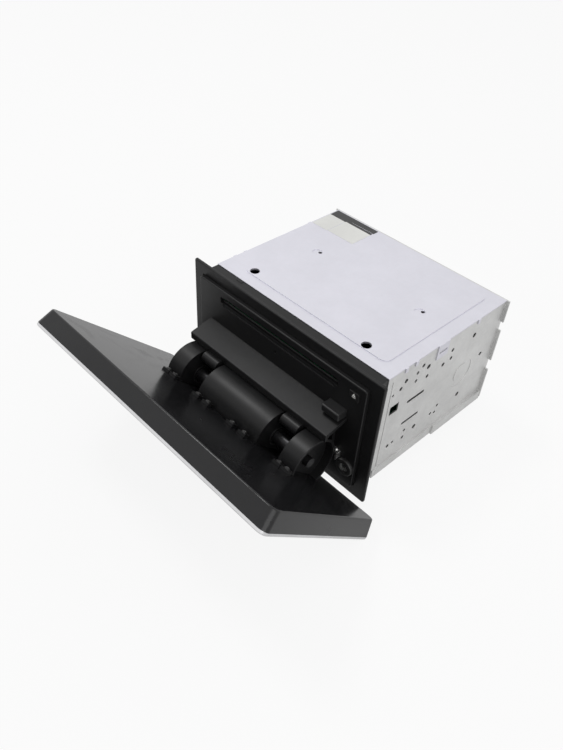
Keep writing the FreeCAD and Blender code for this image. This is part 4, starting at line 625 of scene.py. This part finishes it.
def deselect() -> None:
    """Leaves nothing selected and nothing active."""
    for item in bpy.context.selected_objects:
        item.select_set(False)
    bpy.context.view_layer.objects.active = None


def take(item: bpy.types.Object) -> None:
    """Selects one object alone and makes it active.

    Args:
        item: the object.
    """
    deselect()
    item.select_set(True)
    bpy.context.view_layer.objects.active = item


def settle(item: bpy.types.Object) -> None:
    """Moves an object's place into its mesh, so that it sits at the origin.

    Args:
        item: the object.
    """
    take(item)
    bpy.ops.object.transform_apply(location=True, rotation=True, scale=True)


def pick_faces(item: bpy.types.Object, wanted: Callable[[bpy.types.MeshPolygon], bool]) -> None:
    """Enters edit mode with some faces selected.

    Args:
        item: the object.
        wanted: says which faces.
    """
    take(item)
    bpy.ops.object.mode_set(mode="EDIT")
    bpy.ops.mesh.select_mode(type="FACE")
    bpy.ops.mesh.select_all(action="DESELECT")
    bpy.ops.object.mode_set(mode="OBJECT")
    for face in item.data.polygons:
        face.select = wanted(face)
    bpy.ops.object.mode_set(mode="EDIT")


def pick_points(item: bpy.types.Object, wanted: Callable[[Vector], bool]) -> None:
    """Enters edit mode with some points selected.

    Args:
        item: the object.
        wanted: says which points, by their place.
    """
    take(item)
    bpy.ops.object.mode_set(mode="EDIT")
    bpy.ops.mesh.select_mode(type="VERT")
    bpy.ops.mesh.select_all(action="DESELECT")
    bpy.ops.object.mode_set(mode="OBJECT")
    for point in item.data.vertices:
        point.select = wanted(point.co)
    bpy.ops.object.mode_set(mode="EDIT")


def round_edges(item: bpy.types.Object, width: float, segments: int, crease: float = CREASE) -> None:
    """Rounds the sharp edges of a mesh and smooths what is left.

    Args:
        item: the object.
        width: the bevel's width in metres.
        segments: its steps.
        crease: the smallest angle that counts as an edge.
    """
    take(item)
    bevel = item.modifiers.new("rounded", "BEVEL")
    bevel.width = width
    bevel.segments = segments
    bevel.limit_method = "ANGLE"
    bevel.angle_limit = crease
    bevel.use_clamp_overlap = True
    bevel.miter_outer = "MITER_ARC"
    bevel.harden_normals = False
    bpy.ops.object.modifier_apply(modifier=bevel.name)
    bpy.ops.object.shade_smooth_by_angle(angle=crease)
    flats = item.modifiers.new("flat_faces", "WEIGHTED_NORMAL")
    flats.weight = 100
    flats.keep_sharp = True
    bpy.ops.object.modifier_apply(modifier=flats.name)


class Workshop:
    """Holds the frame and the materials, and makes pieces from them."""

    def __init__(self, frame: dict) -> None:
        """Builds the materials.
        """
        self.nodes: dict[str, bpy.types.Object] = frame["nodes"]
        self.effects = Effects()
        self.materials = {finish.slot: finish.build(self.effects) for finish in FINISHES}
        self.body_of = {node: item["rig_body"] for node, item in self.nodes.items()}

    def dress(self, item: bpy.types.Object, slot: str) -> None:
        """Puts one finish on a whole object.

        Args:
            item: the object.
            slot: the finish's slot.
        """
        if not item.material_slots:
            item.data.materials.append(self.materials[slot])
        for place in item.material_slots:
            place.material = self.materials[slot]

    def dress_node(self, node: str, slot: str) -> None:
        """Puts a finish on a carried-over node.

        Args:
            node: its name.
            slot: the finish's slot.
        """
        self.dress(self.nodes[node], slot)

    def softened(self, node: str, slot: str, width: float, segments: int = 2) -> bpy.types.Object:
        """Makes a piece that stands for a node, with its edges rounded.

        Args:
            node: the node's name.
            slot: the finish's slot.
            width: how wide the rounding is, in metres.
            segments: its steps.

        Returns:
            The new piece.
        """
        source = self.nodes[node]
        piece = bpy.data.objects.new(node + "_finished", source.data.copy())
        bpy.context.scene.collection.objects.link(piece)
        take(piece)
        bpy.ops.object.mode_set(mode="EDIT")
        bpy.ops.mesh.select_all(action="SELECT")
        bpy.ops.mesh.remove_doubles(threshold=MERGE)
        bpy.ops.mesh.dissolve_limited(angle_limit=FLAT)
        bpy.ops.object.mode_set(mode="OBJECT")
        round_edges(piece, width, segments)
        self.dress(piece, slot)
        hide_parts(node)
        self.hand_over(piece, self.body_of[node], slot)
        return piece

    def hand_over(self, piece: bpy.types.Object, body: str, slot: str) -> None:
        """Gives a finished piece its body and logs the slot that it takes its finish from.

        Args:
            piece: the piece.
            body: the body that it rides on.
            slot: the material slot that it takes its finish from.
        """
        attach(piece, body)
        log.info("%s rides on %s as %s", piece.name, body, slot)


# ---- sub-assemblies


@dataclass
class Dressing:
    """A group of nodes that keep their own shape and one finish each."""

    slots: dict[str, str]

    def build(self, shop: Workshop) -> None:
        """Dresses the nodes.

        Args:
            shop: the workshop.
        """
        for node, slot in self.slots.items():
            shop.dress_node(node, slot)
            log.info("%s keeps its shape, finished as %s", node, slot)


@dataclass
class Softened:
    """A group of mouldings or plates whose edges are rounded."""

    pieces: dict[str, tuple[str, float]]

    def build(self, shop: Workshop) -> None:
        """Builds the pieces.

        Args:
            shop: the workshop.
        """
        for node, (slot, width) in self.pieces.items():
            shop.softened(node, slot, width * MM)


@dataclass
class CrossHeadScrews:
    """Pan-head screws with a cross recess, modelled once and copied to every place."""

    node: str
    slot: str
    facing: Triple
    places: tuple[Triple, ...]
    head: tuple[float, float]
    shank: tuple[float, float]
    domes: tuple[tuple[float, float], ...] = ((0.1, 0.24), (0.16, 0.14), (0.22, 0.07))
    recess: tuple[float, float, float] = (0.2, 0.42, 0.8)
    turn: float = 37.0

    def build(self, shop: Workshop) -> None:
        """Builds the screws.

        Args:
            shop: the workshop.
        """
        model = self._model()
        turn = Vector(self.facing).to_track_quat("Z", "Y").to_matrix().to_4x4()
        for number, place in enumerate(self.places, start=1):
            screw = model.copy()
            screw.data = model.data.copy()
            screw.name = f"{self.node}_{number}"
            bpy.context.scene.collection.objects.link(screw)
            spin = Matrix.Rotation(math.radians(self.turn * number), 4, "Z")
            screw.matrix_world = Matrix.Translation(Vector(place) * MM) @ turn @ spin
            settle(screw)
            shop.dress(screw, self.slot)
            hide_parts(self.node)
            shop.hand_over(screw, shop.body_of[self.node], self.slot)
        bpy.data.objects.remove(model)

    def _model(self) -> bpy.types.Object:
        """Models one screw with its seat at the origin and its head up.

        Returns:
            The screw.
        """
        radius, height = (size * MM for size in self.head)
        shank, length = (size * MM for size in self.shank)
        deselect()
        wall = height * 0.5
        bpy.ops.mesh.primitive_cylinder_add(vertices=28, radius=radius, depth=wall, location=(0, 0, wall / 2))
        screw = bpy.context.active_object
        pick_faces(screw, lambda face: face.normal.z > 0.9)
        for inset, rise in self.domes:
            bpy.ops.mesh.inset(thickness=inset * radius, depth=rise * height)
        pick_faces(screw, lambda face: face.normal.z < -0.9)
        bpy.ops.mesh.inset(thickness=radius - shank, depth=0)
        bpy.ops.mesh.extrude_region_move(TRANSFORM_OT_translate={"value": (0, 0, -length)})
        bpy.ops.object.mode_set(mode="OBJECT")
        settle(screw)
        self._sink_recess(screw, radius, height)
        bpy.ops.object.shade_smooth_by_angle(angle=CREASE)
        return screw

    def _sink_recess(self, screw: bpy.types.Object, radius: float, height: float) -> None:
        """Cuts the cross into the head.

        Args:
            screw: the screw, head up.
            radius: the head's radius.
            height: the head's height.
        """
        arm, reach, deep = self.recess
        deselect()
        bpy.ops.mesh.primitive_cube_add(size=2 * arm * radius, location=(0, 0, height))
        cross = bpy.context.active_object
        settle(cross)
        outer = 0.9 * arm * radius
        for x, y in ((1, 0), (-1, 0), (0, 1), (0, -1)):
            way = Vector((x, y, 0))
            pick_faces(
                cross, lambda face, way=way: face.normal.dot(way) > 0.9 and face.center.dot(way) > outer
            )
            bpy.ops.mesh.extrude_region_move(TRANSFORM_OT_translate={"value": way * reach * radius})
        pick_faces(cross, lambda face: face.normal.z < -0.9)
        bpy.ops.transform.resize(value=(0.6, 0.6, 1.0))
        bpy.ops.transform.translate(value=(0, 0, arm * radius - deep * height))
        bpy.ops.object.mode_set(mode="OBJECT")
        take(screw)
        sunk = screw.modifiers.new("recess", "BOOLEAN")
        sunk.operation = "DIFFERENCE"
        sunk.solver = "EXACT"
        sunk.object = cross
        bpy.ops.object.modifier_apply(modifier=sunk.name)
        bpy.data.objects.remove(cross)


@dataclass
class Sticker:
    """A bare sticker with a dark band, laid over the edge of the cover's raised field."""

    left: float = -88.0
    right: float = -41.0
    near: float = 119.0
    far: float = 152.5
    band: float = 10.5
    level: float = 50.62
    step: float = 0.6
    field_left: float = -70.0
    field_rear: float = 145.5
    thick: float = 0.1
    cell: float = 0.75

    def build(self, shop: Workshop) -> None:
        """Builds the sheet and its band.

        Args:
            shop: the workshop.
        """
        split = self.far - self.band
        self._strip(shop, "sticker_sheet", "gear_plastic", self.near, split)
        self._strip(shop, "sticker_band", "socket_black", split, self.far)

    def _strip(self, shop: Workshop, name: str, slot: str, near: float, far: float) -> None:
        """Builds one part of the sticker.

        Args:
            shop: the workshop.
            name: the piece's name.
            slot: its finish.
            near: its front edge.
            far: its rear edge.
        """
        wide, deep = self.right - self.left, far - near
        middle = ((self.left + self.right) / 2 * MM, (near + far) / 2 * MM, self.level * MM)
        deselect()
        bpy.ops.mesh.primitive_grid_add(
            x_subdivisions=round(wide / self.cell),
            y_subdivisions=round(deep / self.cell),
            size=MM,
            location=middle,
        )
        sheet = bpy.context.active_object
        sheet.name = name
        sheet.scale = (wide, deep, 1.0)
        settle(sheet)
        pick_points(sheet, lambda spot: spot.x < self.field_left * MM or spot.y > self.field_rear * MM)
        bpy.ops.transform.translate(value=(0, 0, -self.step * MM))
        bpy.ops.object.mode_set(mode="OBJECT")
        body = sheet.modifiers.new("paper", "SOLIDIFY")
        body.thickness = self.thick * MM
        body.offset = 1.0
        bpy.ops.object.modifier_apply(modifier=body.name)
        bpy.ops.object.shade_smooth_by_angle(angle=CREASE)
        shop.dress(sheet, slot)
        shop.hand_over(sheet, Body.CONSOLE.value, slot)


@dataclass
class EjectSymbol:
    """The usual triangle over a bar, printed on the eject key."""

    middle: tuple[float, float] = (77.3, 39.4)
    face: float = -7.0
    wide: float = 3.2
    bar: float = 0.55
    gap: float = 0.5
    film: float = 0.04

    def build(self, shop: Workshop) -> None:
        """Builds the symbol.

        Args:
            shop: the workshop.
        """
        x, z = self.middle
        deselect()
        bpy.ops.mesh.primitive_circle_add(vertices=3, radius=self.wide / math.sqrt(3) * MM, fill_type="NGON")
        symbol = bpy.context.active_object
        symbol.name = "eject_symbol"
        bpy.ops.object.mode_set(mode="EDIT")
        low = -self.wide / math.sqrt(3) / 2 - self.gap - self.bar / 2
        bpy.ops.mesh.primitive_plane_add(size=MM, location=(0, low * MM, 0))
        bpy.ops.transform.resize(value=(self.wide, self.bar, 1.0))
        bpy.ops.mesh.select_all(action="SELECT")
        bpy.ops.mesh.extrude_region_move(TRANSFORM_OT_translate={"value": (0, 0, self.film * MM)})
        bpy.ops.mesh.select_all(action="SELECT")
        bpy.ops.mesh.normals_make_consistent(inside=False)
        bpy.ops.object.mode_set(mode="OBJECT")
        upright = Matrix.Rotation(math.radians(90), 4, "X")
        symbol.matrix_world = Matrix.Translation(Vector((x, self.face, z)) * MM) @ upright
        settle(symbol)
        shop.dress(symbol, "gear_plastic")
        shop.hand_over(symbol, Body.EJECT.value, "gear_plastic")


# ---- studio


@dataclass(frozen=True)
class Shot:
    """The photograph's viewpoint."""

    place: Triple = (0.2793, -0.2871, 0.3596)
    azimuth: float = 43.94
    elevation: float = 41.87
    roll: float = 4.08
    lens: float = 33.826
    sensor: float = 36.0

    def build(self) -> None:
        """Adds the camera and makes it the scene's."""
        turn, rise, roll = (math.radians(v) for v in (self.azimuth, self.elevation, self.roll))
        back = Vector((math.sin(turn) * math.cos(rise), -math.cos(turn) * math.cos(rise), math.sin(rise)))
        level = (-back).cross(Vector((0, 0, 1))).normalized()
        upward = level.cross(-back)
        right = level * math.cos(roll) + upward * math.sin(roll)
        up = upward * math.cos(roll) - level * math.sin(roll)
        data = bpy.data.cameras.new("camera")
        data.lens = self.lens
        data.sensor_width = self.sensor
        data.sensor_fit = "AUTO"
        data.clip_start = 0.01
        camera = bpy.data.objects.new("camera", data)
        bpy.context.scene.collection.objects.link(camera)
        camera.matrix_world = Matrix.Translation(self.place) @ Matrix((right, up, back)).transposed().to_4x4()
        bpy.context.scene.camera = camera


@dataclass(frozen=True)
class Lamp:
    """A soft rectangular lamp that faces a point."""

    name: str
    place: Triple
    target: Triple
    size: float
    power: float

    def build(self) -> None:
        """Adds the lamp."""
        data = bpy.data.lights.new(self.name, "AREA")
        data.shape = "SQUARE"
        data.size = self.size
        data.energy = self.power
        item = bpy.data.objects.new(self.name, data)
        bpy.context.scene.collection.objects.link(item)
        way = Vector(self.target) - Vector(self.place)
        item.matrix_world = Matrix.Translation(self.place) @ way.to_track_quat("-Z", "Y").to_matrix().to_4x4()


@dataclass(frozen=True)
class Studio:
    """The pale floor, the white surroundings and the lamps."""

    floor_drop: float = 0.0004
    floor_half: float = 4.0
    floor_seen: float = 0.88
    floor_mirrored: float = 0.32
    ambient: float = 0.5
    shown: float = 1.0
    lamps: tuple[Lamp, ...] = field(
        default_factory=lambda: (
            Lamp("key", (-0.8, -0.1, 1.5), (0.0, 0.03, 0.0), 0.4, 6.5),
            Lamp("fill", (1.5, -0.5, 0.9), (0.0, 0.0, 0.0), 1.2, 7.0),
        )
    )

    def build(self, lowest: float) -> None:
        """Adds the floor, the world and the lamps.

        Args:
            lowest: the object's lowest height.
        """
        self._floor(lowest - self.floor_drop)
        self._world()
        for lamp in self.lamps:
            lamp.build()

    def _floor(self, height: float) -> None:
        """Lays the floor.

        Args:
            height: where it lies.
        """
        deselect()
        bpy.ops.mesh.primitive_grid_add(
            x_subdivisions=8, y_subdivisions=8, size=2 * self.floor_half, location=(0, 0, height)
        )
        floor = bpy.context.active_object
        floor.name = "floor"
        settle(floor)
        material = bpy.data.materials.new("floor_paper")
        material.use_nodes = True
        graph = Graph(material.node_tree)
        shader = principled(material)
        shader.inputs["Base Color"].default_value = (0.9, 0.9, 0.9, 1.0)
        shader.inputs["Roughness"].default_value = 0.9
        shader.inputs["Specular IOR Level"].default_value = 0.0
        path = graph.add("LightPath")
        mirrored = graph.math("MAXIMUM", path.outputs["Is Glossy Ray"], path.outputs["Is Transmission Ray"])
        mirrored = graph.math("MULTIPLY", mirrored, self.floor_mirrored)
        direct = graph.math("MULTIPLY", path.outputs["Is Camera Ray"], self.floor_seen)
        share = graph.math("MAXIMUM", mirrored, direct)
        glow = graph.add("Emission", {"Color": (1, 1, 1, 1), "Strength": 1.0})
        mixed = graph.add("MixShader", {0: share, 1: shader.outputs[0], 2: glow.outputs[0]})
        output = next(n for n in graph.tree.nodes if n.type == "OUTPUT_MATERIAL")
        graph.tree.links.new(mixed.outputs[0], output.inputs["Surface"])
        floor.data.materials.append(material)
        floor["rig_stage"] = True

    def _world(self) -> None:
        """Surrounds the object with even light that the camera and reflections see as white."""
        world = bpy.data.worlds.new("studio")
        world.use_nodes = True
        bpy.context.scene.world = world
        graph = Graph(world.node_tree)
        background = next(n for n in world.node_tree.nodes if n.type == "BACKGROUND")
        background.inputs["Color"].default_value = (1, 1, 1, 1)
        path = graph.add("LightPath")
        seen = graph.math("MAXIMUM", path.outputs["Is Camera Ray"], path.outputs["Is Glossy Ray"])
        seen = graph.math("MAXIMUM", seen, path.outputs["Is Transmission Ray"])
        graph.feed(graph.spread(seen, 0.0, 1.0, self.ambient, self.shown), background.inputs["Strength"])


CARRIED = {
    "chassis_tray": "zinc_sheet",
    "rear_panel": "zinc_sheet",
    "bottom_cover": "zinc_sheet",
    "rear_stud": "screw_steel",
    "blade_fuse": "fuse_plastic",
    "power_pins": "contact_metal",
    "antenna_socket": "socket_metal",
    "aux_socket": "socket_black",
    "power_socket": "socket_black",
    "slot_felt": "felt_black",
    "front_bracket": "inner_steel",
    "face_board": "board_green",
    "key_switches": "socket_black",
    "reset_plunger": "key_black",
    "port_socket": "socket_black",
    "port_metal": "contact_metal",
    "pedestal_screws": "screw_black",
    "hinge_leaves": "hinge_steel",
    "hinge_shaft": "hinge_steel",
    "hinge_bushes": "bush_plastic",
    "hinge_carrier": "inner_steel",
    "touch_glass": "touch_glass",
    "display_panel": "display_black",
    "screen_board": "board_green",
    "main_board": "board_green",
    "tuner_can": "can_metal",
    "capacitors": "capacitor_sleeve",
    "loader_frame": "inner_steel",
    "loader_deck": "inner_steel",
    "loader_dampers": "damper_rubber",
    "disc_guide": "guide_plastic",
    "feed_roller": "roller_rubber",
    "roller_shaft": "screw_steel",
    "roller_gear": "gear_plastic",
    "idler_gear": "gear_plastic",
    "pinion_gear": "gear_plastic",
    "loading_motor": "can_metal",
    "turntable": "guide_plastic",
    "spindle_motor": "can_metal",
    "clamp_arm": "inner_steel",
    "clamp_puck": "guide_plastic",
    "pickup_sled": "sled_plastic",
    "pickup_lens": "lens_clear",
    "guide_rods": "screw_steel",
    "lead_screw": "screw_steel",
    "sled_motor": "can_metal",
}

BOX_PLATES = {
    "top_cover": ("cover_sheet", 0.25),
    "heat_sink": ("heat_sink_alloy", 0.2),
}

FRONT_MOULDINGS = {
    "front_nose": ("trim_black", 0.3),
    "trim_flange": ("trim_black", 0.5),
    "face_panel": ("trim_black", 0.35),
    "hinge_pedestal": ("trim_black", 0.4),
    "eject_key": ("key_black", 0.2),
    "release_button": ("key_black", 0.4),
}

SCREEN_MOULDINGS = {
    "hinge_drum": ("trim_black", 0.4),
    "hinge_knuckles": ("trim_black", 0.4),
    "screen_housing": ("housing_black", 0.5),
    "screen_rim": ("rim_silver", 0.2),
}


HINGE = Vector((0.0, -32.0, -18.0))
SCREEN_TILT = math.radians(45.75)
SCREEN_OUT = (0.0, math.cos(SCREEN_TILT), math.sin(SCREEN_TILT))
HUMP_SCREWS_X = (-66.65, -58.65, -30.2, -18.6, 9.0, 22.2, 58.65, 66.65)


def on_screen(x: float, out: float, up: float) -> Triple:
    """Places a point that is given in the screen's own directions.

    Args:
        x: to the right, in millimetres.
        out: out of the screen's back, from the hinge axis.
        up: up the screen, from the hinge axis.

    Returns:
        The point on the object.
    """
    return tuple(HINGE + Matrix.Rotation(SCREEN_TILT, 3, "X") @ Vector((x, out, up)))


HUMP_SCREWS = CrossHeadScrews(
    node="cover_screws",
    slot="screw_black",
    facing=SCREEN_OUT,
    places=tuple(on_screen(x, -8.45, 23.2) for x in HUMP_SCREWS_X),
    head=(2.2, 1.2),
    shank=(1.5, 6.2),
)
REAR_SCREWS = CrossHeadScrews(
    node="rear_screws",
    slot="screw_steel",
    facing=(0.0, 1.0, 0.0),
    places=tuple((x, 154.7, z) for x in (-84.0, 84.0) for z in (-38.0, 38.0)),
    head=(2.8, 1.4),
    shank=(1.5, 2.2),
)


def spans(box: tuple[Vector, Vector]) -> list[list[float]]:
    """Turns a box into plain lists.

    Args:
        box: its lowest and highest corners.

    Returns:
        The corners as lists of numbers.
    """
    return [[float(v) for v in corner] for corner in box]


def main() -> None:
    """Builds the dressed player, piece by piece."""
    logging.basicConfig(level=logging.INFO, format="%(name)s: %(message)s")
    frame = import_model()
    deselect()
    cad_box = spans(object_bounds())
    shop = Workshop(frame)
    groups = (
        Dressing(CARRIED),
        Softened(BOX_PLATES),
        Softened(FRONT_MOULDINGS),
        Softened(SCREEN_MOULDINGS),
        HUMP_SCREWS,
        REAR_SCREWS,
        Sticker(),
        EjectSymbol(),
    )
    for group in groups:
        group.build(shop)
    Shot().build()
    Studio().build(cad_box[0][2])
    bpy.context.scene.view_settings.view_transform = "Standard"


if __name__ == "__main__":
    main()
